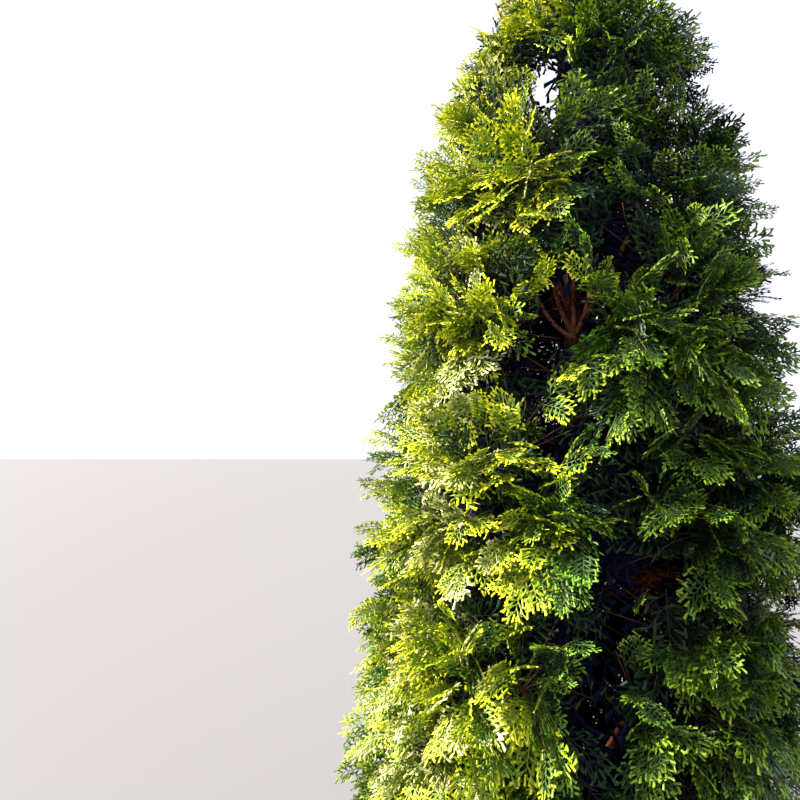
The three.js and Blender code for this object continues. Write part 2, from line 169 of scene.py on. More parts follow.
# Places that the photograph shows open, which the fine sprays leave free, given like the gaps: the fork
# and the sky beside the leader, the dark cleft low down, and a rim that much sky shines through
CLEAR_VIEWS = [
    (0.0, 2.125, 0.105, 0.1, False),
    (-0.05, 2.93, 0.034, 0.075, True),
    (-0.088, 2.865, 0.028, 0.045, True),
    (-0.04, 2.83, 0.02, 0.055, True),
]
CLEFTS = [(0.03, 0.7, 0.045, 0.2, False), (0.16, 1.12, 0.055, 0.22, False)]
THIN_PLACES = [(0.37, 2.8, 0.09, 0.11, True)]
THIN_SHARE = 0.65  # of the sprays are left out there
TIP_STRAY = 0.3  # share of the sprays whose tips may reach into a clear place
RIM_STRAY = 0.08  # share of the sprays that hang across a hollow's rim
RIM_SPARE = 0.012  # how far sprays stay clear of the rim of a gap


# Camera, light and floor

# The camera of the photograph, at standing eye height. Its pitch is in degrees, 90 for level, and its
# lens and sensor are in millimetres
CAMERA_PLACE = (-0.5634, -2.75, 1.65)
CAMERA_PITCH = 93.35
CAMERA_LENS = 36.9
SENSOR_WIDTH = 36

# A low sun on the left and a little behind the tree
SUN_STRENGTH = 19
SUN_WIDTH = 5  # degrees across, so that its shadows have soft edges
SUN_TILT = -56  # degrees from overhead, towards the left
SUN_TURN = -3  # degrees about the upright
SUN_COLOUR = "#FFF4E4"
ROOM_STRENGTH = 1.32
ROOM_COLOUR = "#EEF0FF"
FLOOR_HALF = 120.0


def make_camera():
    """Looks along +Y, pitched up a little, as in the photograph."""
    data = bpy.data.cameras.new("camera")
    data.lens = CAMERA_LENS
    data.sensor_width = SENSOR_WIDTH
    camera = bpy.data.objects.new("camera", data)
    camera.location = CAMERA_PLACE
    camera.rotation_euler = (math.radians(CAMERA_PITCH), 0, 0)
    bpy.context.collection.objects.link(camera)
    bpy.context.scene.camera = camera


def linear(colour):
    """An sRGB hex colour as linear red, green, blue and alpha, by the standard's own curve."""
    parts = [int(colour[i:i + 2], 16) / 255 for i in (1, 3, 5)]
    return [c / 12.92 if c <= 0.04045 else ((c + 0.055) / 1.055) ** 2.4 for c in parts] + [1.0]


def add_node(tree, kind, settings=None, links=None):
    """Adds a node. Settings name its sockets or its own properties, and links name what feeds it."""
    node = tree.nodes.new(kind)
    for name, value in (settings or {}).items():
        if name in node.inputs:
            node.inputs[name].default_value = value
        else:
            setattr(node, name, value)
    for name, source in (links or {}).items():
        tree.links.new(source, node.inputs[name])
    return node


def new_material(name):
    """A material without nodes, for its maker to fill."""
    material = bpy.data.materials.new(name)
    material.use_nodes = True
    material.node_tree.nodes.clear()
    return material


def plain_material(name, settings):
    """One even surface: its values stand on the shader's own sockets."""
    material = new_material(name)
    shader = add_node(material.node_tree, "ShaderNodeBsdfPrincipled", settings)
    add_node(material.node_tree, "ShaderNodeOutputMaterial", links={"Surface": shader.outputs[0]})
    return material


def light_studio():
    """A warm low sun, as it stands in the photograph, and a pale even room for the sky's light."""
    sun = bpy.data.lights.new("key", "SUN")
    sun.energy = SUN_STRENGTH
    sun.angle = math.radians(SUN_WIDTH)
    sun.color = linear(SUN_COLOUR)[:3]
    lamp = bpy.data.objects.new("key", sun)
    lamp.rotation_euler = (0, math.radians(SUN_TILT), math.radians(SUN_TURN))
    bpy.context.collection.objects.link(lamp)
    world = bpy.data.worlds.new("studio")
    world.use_nodes = True
    background = world.node_tree.nodes["Background"]
    background.inputs["Color"].default_value = linear(ROOM_COLOUR)
    background.inputs["Strength"].default_value = ROOM_STRENGTH
    bpy.context.scene.world = world
    bpy.context.scene.view_settings.view_transform = "Standard"


def matt_paint():
    """Matt wall paint, rolled on: no shine, so that the floor stays quiet."""
    return plain_material(
        "matt_paint", {"Base Color": linear("#6A6B6E"), "Roughness": 0.9, "IOR": 1.45}
    )


def lay_floor():
    """A level floor at the foot of the tree, so wide that no view shows its edge nearby."""
    mesh = bpy.data.meshes.new("floor")
    corners = [(-1, -1), (1, -1), (1, 1), (-1, 1)]
    mesh.from_pydata([(FLOOR_HALF * x, FLOOR_HALF * y, 0) for x, y in corners], [], [(0, 1, 2, 3)])
    mesh.materials.append(matt_paint())
    floor = bpy.data.objects.new("floor", mesh)
    bpy.context.collection.objects.link(floor)


# Shape of the trunk and the crown. Points are rows of three numbers


def unit(vectors):
    """Vectors brought to a length of one."""
    vectors = np.asarray(vectors, float)
    return vectors / np.maximum(np.linalg.norm(vectors, axis=-1, keepdims=True), SHORTEST)


def grade(value, start, length):
    """0 before the start, then evenly up to 1 over the length. A negative length grades downward."""
    return np.clip((value - start) / length, 0, 1)


# The way to the right, as the open side is seen
ACROSS = np.cross(unit([-OPEN_SIDE[0], -OPEN_SIDE[1], 0]), UP)


def seeded(seed):
    """A run of numbers from 0 to 1, the same as the source's run for the same seed."""
    state = seed
    while True:
        state = state * MULTIPLIER % MODULUS
        yield state / MODULUS


def trunk_centre(z):
    """The middle line of the trunk, and above it of the leader, with its gentle sway."""
    z = np.asarray(z, float)
    x = -SWAY[0] * np.sin(2 * math.pi * z / SWAY_LENGTH[0])
    y = SWAY[1] * np.sin(2 * math.pi * z / SWAY_LENGTH[1])
    return np.stack([x, y, z], axis=-1)


def trunk_radius(z, angle=0.0):
    """Thinner upward, with a lobed flare at the foot."""
    left = np.maximum(0, 1 - z / TRUNK_TOP)
    stem = TRUNK_TIP_RADIUS + (TRUNK_RADIUS - TRUNK_TIP_RADIUS) * left**TRUNK_TAPER
    lobes = 1 + FLARE_LOBE_SHARE * np.cos(FLARE_LOBES * angle)
    return stem + FLARE_RADIUS * lobes * np.exp(-z / FLARE_HEIGHT)


def crown_radius(z, azimuth):
    """How far the crown reaches from the trunk's middle line: tucked in at its skirt, pointed above."""
    z = np.asarray(z, float)
    side = CROWN_RADIUS * (1 + FULLER_SIDE * np.cos(azimuth))
    low = 1 - SKIRT_TUCK * (1 - z / WIDEST_HEIGHT) ** 2
    climb = np.clip((z - WIDEST_HEIGHT) / (TREE_HEIGHT - WIDEST_HEIGHT), 0, 1)
    high = (1 - CROWN_TAPER * climb) * (1 - climb**CROWN_ROUNDING)
    return side * np.where(z < WIDEST_HEIGHT, low, high)


def outward(azimuth):
    """The level direction away from the trunk."""
    azimuth = np.asarray(azimuth, float)
    return np.stack([np.cos(azimuth), np.sin(azimuth), np.zeros_like(azimuth)], axis=-1)


def crown_point(share, azimuth, z):
    """The place at a share of the crown's reach."""
    reach = np.asarray(share * crown_radius(z, azimuth))
    return trunk_centre(z) + reach[..., None] * outward(azimuth)


def in_gap(points, spare=0.0, only_through=False, gaps=GAPS):
    """Which points lie in one of the gaps, or this much outside of its rim."""
    found = np.zeros(len(points), bool)
    for across, up, wide, tall, through in gaps:
        line = ACROSS * across + UP * up - OPEN_SIDE
        away = points - OPEN_SIDE
        share = away @ line / (line @ line)
        off = away - share[:, None] * line
        inside = (off @ ACROSS / (wide + spare)) ** 2 + (off[:, 2] / (tall + spare)) ** 2 < share**2
        if through or not only_through:
            found |= inside & (through | (share <= 1))
    return found


def crosses_sky(line):
    """Whether a limb would run across the sky that shows beside the leader."""
    return in_gap(line, 0.0, True, CLEAR_VIEWS).any()


# Layout of the masses, by the source's rule and its random draws


class Mass:
    """One mass of foliage: where it is, which way it looks, and its run of random numbers."""

    def __init__(self, tier, place=0):
        self.tier = tier
        self.is_top = tier == len(TIERS)
        if self.is_top:
            self.name = "top"
            self.random = seeded(SEED)
            self.azimuth = 0.0
            self.height = TOP_MASS_HEIGHT
            self.half_arc = math.pi
            self.ahead = UP
            self.side = np.array([1.0, 0.0, 0.0])
            self.middle = trunk_centre(TOP_MASS_HEIGHT)
        else:
            boughs, seam = TIERS[tier]
            self.name = f"{tier + 1}_{place + 1}"
            self.random = seeded(SEED + SEED_STEP * (PLACES_IN_TIER * tier + place + 1))
            open_azimuth = math.atan2(OPEN_SIDE[1], OPEN_SIDE[0]) + seam / CROWN_RADIUS
            turn = (place + 0.5) * (2 * math.pi / boughs)
            self.azimuth = open_azimuth + turn + TURN_JITTER * (next(self.random) - 0.5)
            climbed = TIER_STEP * (1 - TIER_SHRINK**tier) / (1 - TIER_SHRINK)
            self.height = FIRST_TIER + climbed + TIER_JITTER * (next(self.random) - 0.5)
            self.half_arc = math.pi / boughs
            self.ahead = outward(self.azimuth)
            self.side = np.cross(self.ahead, UP)
            self.middle = crown_point(MASS_REACH, self.azimuth, self.height)
        self.lift = np.cross(self.side, self.ahead)
        self.half_height = TIER_STEP / 2
        self.own = np.random.default_rng(SEED + OWN_SEED_STEP * tier + place)


def lay_out_masses():
    """All masses, each with the walls that part its space from its neighbours'."""
    masses = [Mass(tier, place) for tier, (boughs, _) in enumerate(TIERS) for place in range(boughs)]
    masses.append(Mass(len(TIERS)))
    for mass in masses:
        others = np.array([other.middle for other in masses if other is not mass])
        mass.wall_normals = unit(mass.middle - others)
        mass.wall_offsets = np.sum(mass.wall_normals * (mass.middle + others) / 2, axis=1)
    return masses


def bulge(mass, azimuth, z):
    """How far a mass reaches, as a share of the crown's radius: most at its middle."""
    if mass.is_top:
        return np.ones_like(z)
    turn = np.arctan2(np.sin(azimuth - mass.azimuth), np.cos(azimuth - mass.azimuth))
    off = (turn / mass.half_arc) ** 2 + ((z - mass.height) / mass.half_height) ** 2
    return BULGE - BULGE_DIP * np.minimum(1, off)


def about_trunk(points):
    """Azimuth and distance of points from the trunk's middle line at their height."""
    off = points - trunk_centre(points[:, 2])
    return np.arctan2(off[:, 1], off[:, 0]), np.hypot(off[:, 0], off[:, 1])


def within_walls(mass, points):
    """Which points lie on a mass's own side of all its walls."""
    return np.all(points @ mass.wall_normals.T - mass.wall_offsets > SPACE_MARGIN, axis=1)


def in_space(mass, points):
    """Which points lie in the space that the source gives to a mass."""
    azimuth, away = about_trunk(points)
    z = points[:, 2]
    reach = crown_radius(z, azimuth)
    inside = (z > SKIRT_HEIGHT) & (away < reach * bulge(mass, azimuth, z))
    if not mass.is_top:
        inside &= away > reach * INNER_BARE
    return inside & within_walls(mass, points) & ~in_gap(points)


def room_ahead(mass, start, direction, most):
    """How far a line can run in a mass's space, up to this much."""
    gone = np.arange(MARCH_STEP, most + ROUND_OFF, MARCH_STEP)
    free = in_space(mass, start + gone[:, None] * direction)
    return most if free.all() else gone[np.argmin(free)] - MARCH_STEP


# Limbs


def bezier(foot, bend, tip, share):
    """Points and directions of a bent line at shares of its way."""
    t = np.asarray(share, float)[..., None]
    points = (1 - t) ** 2 * foot + 2 * t * (1 - t) * bend + t**2 * tip
    return points, unit((1 - t) * (bend - foot) + t * (tip - bend))


def bough_line(mass):
    """Foot, bend and tip of a bough's middle line."""
    climb = min(BOUGH_CLIMB, BOUGH_LOW_CLIMB * mass.height)
    tip = crown_point(BOUGH_REACH, mass.azimuth, mass.height - BOUGH_DROP * climb / BOUGH_CLIMB)
    root_height = mass.height - climb
    root = trunk_centre(root_height) + BOUGH_SINK * trunk_radius(root_height) * mass.ahead
    sag = BOUGH_SAG * np.linalg.norm(tip - root)
    return root, (root + tip) / 2 - sag * UP, tip


def stem_line(mass):
    """Foot, bend and tip of the stem that carries a bough on into its mass."""
    if mass.is_top:
        foot = trunk_centre(TRUNK_TOP + JOIN_GAP)
        tip = trunk_centre(TREE_HEIGHT)
        return foot, (foot + tip) / 2, tip
    point, onward = bezier(*bough_line(mass), [1.0])
    foot = point[0] + JOIN_GAP * onward[0]
    tip = crown_point(STEM_END, mass.azimuth, mass.height + STEM_RISE)
    return foot, foot + STEM_BEND * np.linalg.norm(tip - foot) * onward[0], tip


def thinned(radius, mass):
    """A radius for the height of a mass: higher boughs are more slender."""
    return radius * (1 - BOUGH_THINNING * mass.height / TREE_HEIGHT)


def main_twigs(mass):
    """The twigs of the source: foot, direction and length of each."""
    for _ in range(CORE_DRAWS):
        next(mass.random)
    found = []
    for i in range(TWIGS):
        wide = math.sqrt((i + 0.5) / TWIGS)
        turn = i * GOLDEN_ANGLE + mass.height * TURN_BY_HEIGHT
        spread = TWIG_SPREAD * wide * (1 + TWIG_SPREAD_JITTER * (2 * next(mass.random) - 1))
        foot, _ = bezier(*stem_line(mass), [TWIG_FIRST + (TWIG_LAST - TWIG_FIRST) * wide])
        sideways = mass.side * math.cos(turn) + mass.lift * math.sin(turn)
        direction = unit(mass.ahead * math.cos(spread) + sideways * math.sin(spread) + TWIG_RISE * UP)
        room = room_ahead(mass, foot[0], direction, TWIG_MOST + TWIG_STOP)
        found.append((foot[0], direction, max(room - TWIG_STOP, MARCH_STEP)))
    return found


def rise_at(z):
    """How far shoots turn up at a height: they fall at the foot of the tree and climb at its top."""
    return SPRAY_FALL + (SPRAY_LIFT - SPRAY_FALL) * z / TREE_HEIGHT


def source_sprays(mass, twigs):
    """Tip, direction and flat of the blades that the source puts on each twig."""
    found = []
    for foot, direction, length in twigs:
        across = unit(np.cross(UP, direction))
        for i in range(SPRAYS_ON_TWIG):
            opening = SPRAY_OPENING * (-1) ** i if i else 0.0
            seat = foot + direction * length * (SPRAY_SEAT - SPRAY_SPACING * i)
            onward = direction * math.cos(opening) + across * math.sin(opening)
            onward = unit(onward + rise_at(seat[2]) * UP)
            roll = SPRAY_ROLL * (2 * next(mass.random) - 1)
            room = room_ahead(mass, seat, onward, SPRAY_LENGTH + TWIG_STOP)
            if room >= SPRAY_LEAST:
                found.append((seat + room * onward, onward, roll))
    return found


# Growth of the finer shoots, which the rule is carried on to

# How far the crown's skin rises and falls, and its waves: how strong, then for each of two that are
# multiplied its turns round the tree, its climb for each metre up and its start, in radians
SKIN_RELIEF = 0.035
SKIN_WAVES = [
    (0.6, (3, 2.3, 0.7), (-1.1, 4.1, 0)),
    (0.4, (7, -6.5, 0), (2, 9.7, 1.3)),
    (0.9, (21, 6, 0), (-6, 13, 0.4)),
]

# Where the photographed outline leaves the even crown, as heights and as shares of its radius: drawn in
# at the left shoulder, a little drawn in at the low left, and fuller at the right shoulder
SHOULDER_FOOT = 2.8
SHOULDER_RISE = 0.35
SHOULDER_END = 0.3
SHOULDER_SHARE = 0.44
SHOULDER_ROUNDING = 0.7  # below 1, it is felt further round from the left
LOW_LEFT_TOP = 1.7
LOW_LEFT_FALL = 0.4
LOW_LEFT_SHARE = 0.035
FULL_HEIGHT = 2.9
FULL_REACH = 0.22
FULL_SHARE = 0.19

# Where tips are scattered in the skin of a mass
SKIN_TURN = 1.15  # how far round and up they are tried, as shares of half the mass
SKIN_CLIMB = 1.35
SKIN_SHALLOW = 1.3  # above 1, more of them lie shallow than deep
SKIN_MOST = 1.06  # of the crown's radius
SKIN_INSET = 0.02  # a tip past its mass's reach is tested for it this far inside
TOP_SKIN_FOOT = 3.2  # height from which the skin of the top mass begins
SKIRT_SPARE = 0.01  # how far tips stay above the skirt, and below the tree's tip
TIP_SPARE = 0.02
SEAM_FILL = 0.5  # how far the sprays fill up the seams between masses
TIER_FILL = 0.4  # the share of the height from a mass's middle that counts for its taper

SHOOT_SPACING = 0.1125  # between the tips of neighbouring shoots on the crown's skin
APEX_SPACING = 0.08  # and on the top mass
SHOOT_TRIES = 1500
SHOOT_BURIED = 0.13  # the deepest tip of the outer layer, as a share of the crown's radius
SHOOT_PROUD = 0.03  # and how far the furthest tip stands out
SHOOT_LEAST = 0.13  # a shoot is seldom shorter
SHOOT_BEND = 0.55  # from the tip back to the bend, as a share of its length
SHOOT_ROLL = 0.9
SHOOT_ALONG = 0.5  # how much of the line from its limb a shoot keeps as it turns outward
SHOOT_RISE = 1.15  # of the rise that sprays of the source have
SHOOT_STRAY = 0.26
SHOOT_UP_STRAY = 0.42
SIGHT_POINTS = 9  # along a shoot, where the view is tested
TOP_OUTWARD = 0.6  # the shoots of the top mass lean out and up in these parts
TOP_UPWARD = 0.5
STEM_SEATS = np.linspace(0.1, 0.95, 8)  # shares of the stem where shoots can leave
TWIG_SEATS = np.linspace(0.15, 1, 5)
LIMB_INSIDE = 0.1  # how far inside of its tip a shoot should leave its limb
LEVEL_COST = 5  # what a metre too little of that costs, and a metre too little of length
SHORT_COST = 3


def wander(azimuth, z):
    """Unevenness of the crown's skin: slow swells, quicker ones, and plumes a hand wide and taller."""
    total = 0
    for strength, *waves in SKIN_WAVES:
        first, second = (np.sin(turns * azimuth + climb * z + start) for turns, climb, start in waves)
        total = total + strength * (first * second)
    return total


def shoulder(azimuth, z):
    """The share of the crown's radius that is left at a place, after the photographed outline."""
    left = np.maximum(0, -np.cos(azimuth))
    right = np.maximum(0, np.cos(azimuth)) ** 2
    high = grade(z, SHOULDER_FOOT, SHOULDER_RISE) * grade(z, TREE_HEIGHT, -SHOULDER_END)
    low = grade(z, LOW_LEFT_TOP, -LOW_LEFT_FALL)
    full = np.clip(1 - np.abs(z - FULL_HEIGHT) / FULL_REACH, 0, 1) * right
    drawn_high = SHOULDER_SHARE * high * left**SHOULDER_ROUNDING
    return 1 - drawn_high - LOW_LEFT_SHARE * low * left + FULL_SHARE * full


def drawn_in(point):
    """A point brought in, or out, to the photographed outline."""
    azimuth, _ = about_trunk(point[None])
    centre = trunk_centre(point[2])
    return centre + (point - centre) * shoulder(azimuth, point[None, 2])[0]


def skin_points(mass, count, buried, proud, share=1.0):
    """Points scattered in the skin of a mass, each buried a different depth."""
    spread = mass.own.random((count, 3))
    if mass.is_top:
        azimuth = 2 * math.pi * spread[:, 0]
        z = TOP_SKIN_FOOT + (TREE_HEIGHT - TOP_SKIN_FOOT) * spread[:, 1]
    else:
        azimuth = mass.azimuth + SKIN_TURN * mass.half_arc * (2 * spread[:, 0] - 1)
        z = mass.height + SKIN_CLIMB * mass.half_height * (2 * spread[:, 1] - 1)
    z = np.clip(z, SKIRT_HEIGHT + SKIRT_SPARE, TREE_HEIGHT - TIP_SPARE)
    depth = proud - (buried + proud) * spread[:, 2] ** SKIN_SHALLOW
    full = bulge(mass, azimuth, mass.height + TIER_FILL * (z - mass.height))
    full = full + SEAM_FILL * (BULGE - full)
    uneven = np.minimum(1 + depth + SKIN_RELIEF * wander(azimuth, z), SKIN_MOST)
    reach = share * full * uneven * shoulder(azimuth, z)
    points = crown_point(reach, azimuth, z)
    points[:, :2] = np.clip(points[:, :2], CAD_BOX[0][:2], CAD_BOX[1][:2])
    tested = crown_point(np.minimum(reach, bulge(mass, azimuth, z) - SKIN_INSET), azimuth, z)
    return points[in_space(mass, tested)]


def thin_out(points, kept, spacing):
    """Points that stay that far from each other and from the ones already kept."""
    found = [np.asarray(point) for point in kept]
    first = len(found)
    for point in points:
        if not found or np.min(np.sum((np.array(found) - point) ** 2, axis=1)) > spacing**2:
            found.append(point)
    return found[first:]


def limb_points(mass, twigs):
    """Places on the stem and the main twigs that shoots can leave from."""
    stem, _ = bezier(*stem_line(mass), STEM_SEATS)
    along = TWIG_SEATS[:, None]
    return np.vstack([stem] + [foot + direction * length * along for foot, direction, length in twigs])


def nearest_limb(limbs, tip, outward_way):
    """The limb's place that a shoot to this tip leaves from: near, and well inside of it."""
    gap = tip - limbs
    distance = np.linalg.norm(gap, axis=1)
    too_level = np.maximum(0, LIMB_INSIDE - gap @ outward_way)
    too_short = np.maximum(0, SHOOT_LEAST - distance)
    return limbs[np.argmin(distance + LEVEL_COST * too_level + SHORT_COST * too_short)]


class Shoot:
    """A slender shoot from a limb to its tip at the skin, with the roll of its flat side."""

    def __init__(self, foot, tip, onward, roll):
        self.foot = foot
        self.tip = tip
        self.length = np.linalg.norm(tip - foot)
        self.bend = tip - onward * SHOOT_BEND * self.length
        self.roll = roll

    def line(self, count):
        """This many points from its foot to its tip."""
        points, _ = bezier(self.foot, self.bend, self.tip, np.linspace(0, 1, count))
        return points


def grow_shoots(mass, twigs):
    """The source's sprays as shoots, and finer ones wherever the skin is still bare."""
    sprays = source_sprays(mass, twigs)
    limbs = limb_points(mass, twigs)
    tips = [drawn_in(tip) for tip, _, _ in sprays]
    spacing = APEX_SPACING if mass.is_top else SHOOT_SPACING
    finer = thin_out(skin_points(mass, SHOOT_TRIES, SHOOT_BURIED, SHOOT_PROUD), tips, spacing)
    shoots = []
    for i, tip in enumerate(tips + finer):
        radial = unit(tip - trunk_centre(tip[2]))
        radial = unit(TOP_OUTWARD * radial + TOP_UPWARD * UP if mass.is_top else radial + NUDGE * UP)
        foot = nearest_limb(limbs, tip, radial)
        if i < len(sprays):
            _, onward, roll = sprays[i]
        else:
            stray = mass.own.normal(0, SHOOT_STRAY, 3) + mass.own.normal(0, SHOOT_UP_STRAY) * UP
            lift = rise_at(tip[2]) * UP * SHOOT_RISE
            onward = unit(radial + SHOOT_ALONG * unit(tip - foot) + lift + stray)
            roll = SHOOT_ROLL * (2 * mass.own.random() - 1)
        shoot = Shoot(foot, tip, onward, roll)
        if not crosses_sky(shoot.line(SIGHT_POINTS)):
            shoots.append(shoot)
    return shoots


# Flat sprays. A spray is one unit long and made of blades, each one scaly branchlet

# A branchlet
BLADE_TWIST = 0.3  # radians
BLADE_ROUNDING = 0.85  # how far the normals lean outward at its edges, in radians
BLADE_RISE = 0.1  # how far its end strays out of the flat, as a share of its length
BLADE_FOLD = 0.5  # at most, as a share of its half-width
BLADE_SKEW = 0.86  # the shorter of its edges, as a share of the longer

# The families of sprays: how many kinds of each, the branches to one side, and as shares of the spray's
# length the step between branchlets, their half-width and their length. Real ones are finer: these are
# as coarse as the number of triangles asks for
FAMILIES = [
    (12, 6, 0.1, 0.031, 0.14),
    (4, 5, 0.2, 0.032, 0.18),
    (3, 5, 0.3, 0.046, 0.26),
]
FINE_KINDS, COARSE_KINDS, BROAD_KINDS = (family[0] for family in FAMILIES)
COARSE = (FINE_KINDS, FINE_KINDS + COARSE_KINDS)  # the first kind of a family, and the first past it
BROAD = (COARSE[1], COARSE[1] + BROAD_KINDS)

# The axis of a spray, as shares of its length, and the widths of its blades, as shares of a branchlet's
AXIS_CURVE = 0.14
AXIS_MIDDLE = 0.5
AXIS_END = 0.92
AXIS_WIDTH = 0.35
END_BLADE = (0.84, 0.16)  # where it starts, and its length
END_BLADE_WIDTHS = (0.6, 0.9)

# Branches: where on the axis, how long, how far they open, and how wide at foot and tip
BRANCH_FIRST = 0.07
BRANCH_SPAN = 0.83
BRANCH_CROWDING = 0.95  # below 1, they lie a little closer towards the end
BRANCH_LENGTH = (0.60, 0.44)  # near the foot, and how much less towards the end
BRANCH_AT_FOOT = (0.66, 0.34, 0.3)  # the lowest are shorter: their share, what they gain, and by where
BRANCH_JITTER = (0.82, 1.15)
BRANCH_OPENING = (0.90, 0.36)  # near the foot, and how much less towards the end
BRANCH_STRAY = 0.08
BRANCH_WIDTHS = (0.3, 0.6)

# Branchlets along a branch, to either side in turn
BRANCHLET_FIRST = 0.75  # in steps from the branch's foot
BRANCHLET_SPARE = 0.1  # what the branch has left past its last step, in steps
BRANCHLET_LAST = 0.97  # share of the branch past which none begins
BRANCHLET_OPENING = (0.42, 0.72)
BRANCHLET_LENGTH = (1.1, 0.35)  # near the branch's foot, and how much less towards its end
BRANCHLET_JITTER = (0.8, 1.25)
BRANCHLET_FOOT_WIDTH = 0.55
BRANCHLET_TIP_WIDTHS = (0.75, 1.0)
BRANCHLET_YOUNG_LIT = 2  # the last ones of a branch, which are young, with the lighter tip colour that is partly painted light

# How far a spray cups downward to its sides, and bends along its length
SPRAY_CUP = (0.15, 0.6)
SPRAY_BOW = (-0.05, 0.12)


def blade(start, way, length, foot_half, tip_half, rng):
    """Four points, their normals and two triangles of one branchlet: a strip, wider to its blunt end.

    The end is cut a little askew, and the strip is folded and twisted, so that each catches other light.
    Its normals lean outward at both edges, because a real branchlet is rounded."""
    ahead = np.array([way[0], way[1], 0.0])
    twist = rng.normal(0, BLADE_TWIST)
    side = math.cos(twist) * np.array([-way[1], way[0], 0.0]) + math.sin(twist) * UP
    rise = rng.normal(0, BLADE_RISE) * length * UP
    fold = rng.uniform(-BLADE_FOLD, BLADE_FOLD) * tip_half * UP
    short, long = (BLADE_SKEW, 1.0) if rng.random() < 0.5 else (1.0, BLADE_SKEW)
    points = [
        start + foot_half * side,
        start - foot_half * side - fold,
        start + short * length * ahead - tip_half * side + rise,
        start + long * length * ahead + tip_half * side + rise - fold,
    ]
    face_way = math.cos(BLADE_ROUNDING) * np.cross(ahead, side)
    at_side = face_way + math.sin(BLADE_ROUNDING) * side
    at_other = face_way - math.sin(BLADE_ROUNDING) * side
    return points, [at_side, at_other, at_other, at_side], [(0, 1, 2), (0, 2, 3)]


def spray_template(rng, laterals, step, half_width, finger):
    """A flat spray: an axis, branches to either side in turn, and branchlets on them.

    Gives its points, normals, triangles, and for each triangle 1 at the young tips, coloured lighter partly
    as painted light, and 0 further in."""
    points = []
    normals = [UP] * 5
    faces = []
    young_lit_tips = []
    curve = rng.uniform(-AXIS_CURVE, AXIS_CURVE)

    def on_axis(x):
        return np.array([x, curve * x * x, 0.0])

    def add(start, angle, length, foot_half, tip_half, is_young_lit_tip):
        way = (math.cos(angle), math.sin(angle))
        new, new_normals, triangles = blade(start, way, length, foot_half, tip_half, rng)
        base = len(points)
        points.extend(new)
        normals.extend(new_normals)
        faces.extend([tuple(base + corner for corner in triangle) for triangle in triangles])
        young_lit_tips.extend([is_young_lit_tip] * len(triangles))

    middle, end = on_axis(AXIS_MIDDLE), on_axis(AXIS_END)
    wide = np.array([0.0, AXIS_WIDTH * half_width, 0.0])
    points.extend([on_axis(0) - wide, on_axis(0) + wide, middle + wide, middle - wide, end])
    faces.extend([(0, 3, 2), (0, 2, 1), (3, 4, 2)])
    young_lit_tips.extend([0, 0, 0])
    start, length = END_BLADE
    foot, tip = END_BLADE_WIDTHS
    add(on_axis(start), 2 * curve, length, foot * half_width, tip * half_width, 1)
    for i in range(2 * laterals):
        hand = 1 if i % 2 else -1
        x = BRANCH_FIRST + BRANCH_SPAN * (i / (2 * laterals)) ** BRANCH_CROWDING
        longest, less = BRANCH_LENGTH
        lowest, gain, grown = BRANCH_AT_FOOT
        reach = (longest - less * x) * (lowest + gain * min(1, x / grown)) * rng.uniform(*BRANCH_JITTER)
        widest, closer = BRANCH_OPENING
        angle = hand * (widest - closer * x + rng.normal(0, BRANCH_STRAY)) + 2 * curve * x
        start = on_axis(x)
        foot, tip = BRANCH_WIDTHS
        add(start, angle, reach, foot * half_width, tip * half_width, 0)
        way = np.array([math.cos(angle), math.sin(angle), 0.0])
        count = max(1, round(reach / step))
        for j in range(count):
            share = (j + BRANCHLET_FIRST) / (count + BRANCHLET_SPARE)
            seat = start + way * reach * min(share, BRANCHLET_LAST)
            fork = hand * (-1) ** j * rng.uniform(*BRANCHLET_OPENING)
            longest, less = BRANCHLET_LENGTH
            length = finger * (longest - less * share) * rng.uniform(*BRANCHLET_JITTER)
            tip_half = half_width * rng.uniform(*BRANCHLET_TIP_WIDTHS)
            is_young_lit_tip = int(j >= count - BRANCHLET_YOUNG_LIT)
            add(seat, angle + fork, length, BRANCHLET_FOOT_WIDTH * half_width, tip_half, is_young_lit_tip)
    points = np.array(points)
    cup = rng.uniform(*SPRAY_CUP)
    points[:, 2] -= cup * points[:, 1] ** 2 + rng.uniform(*SPRAY_BOW) * points[:, 0] ** 2
    return points, np.array(normals), np.array(faces), np.array(young_lit_tips)


def spray_templates():
    """Every kind of spray, family by family."""
    rng = np.random.default_rng(SEED)
    return [spray_template(rng, *measures) for kinds, *measures in FAMILIES for _ in range(kinds)]


def rotated(vectors, axes, angles):
    """Vectors turned about unit axes that they stand square to."""
    cosine = np.cos(angles)[:, None]
    sine = np.sin(angles)[:, None]
    return vectors * cosine + np.cross(axes, vectors) * sine


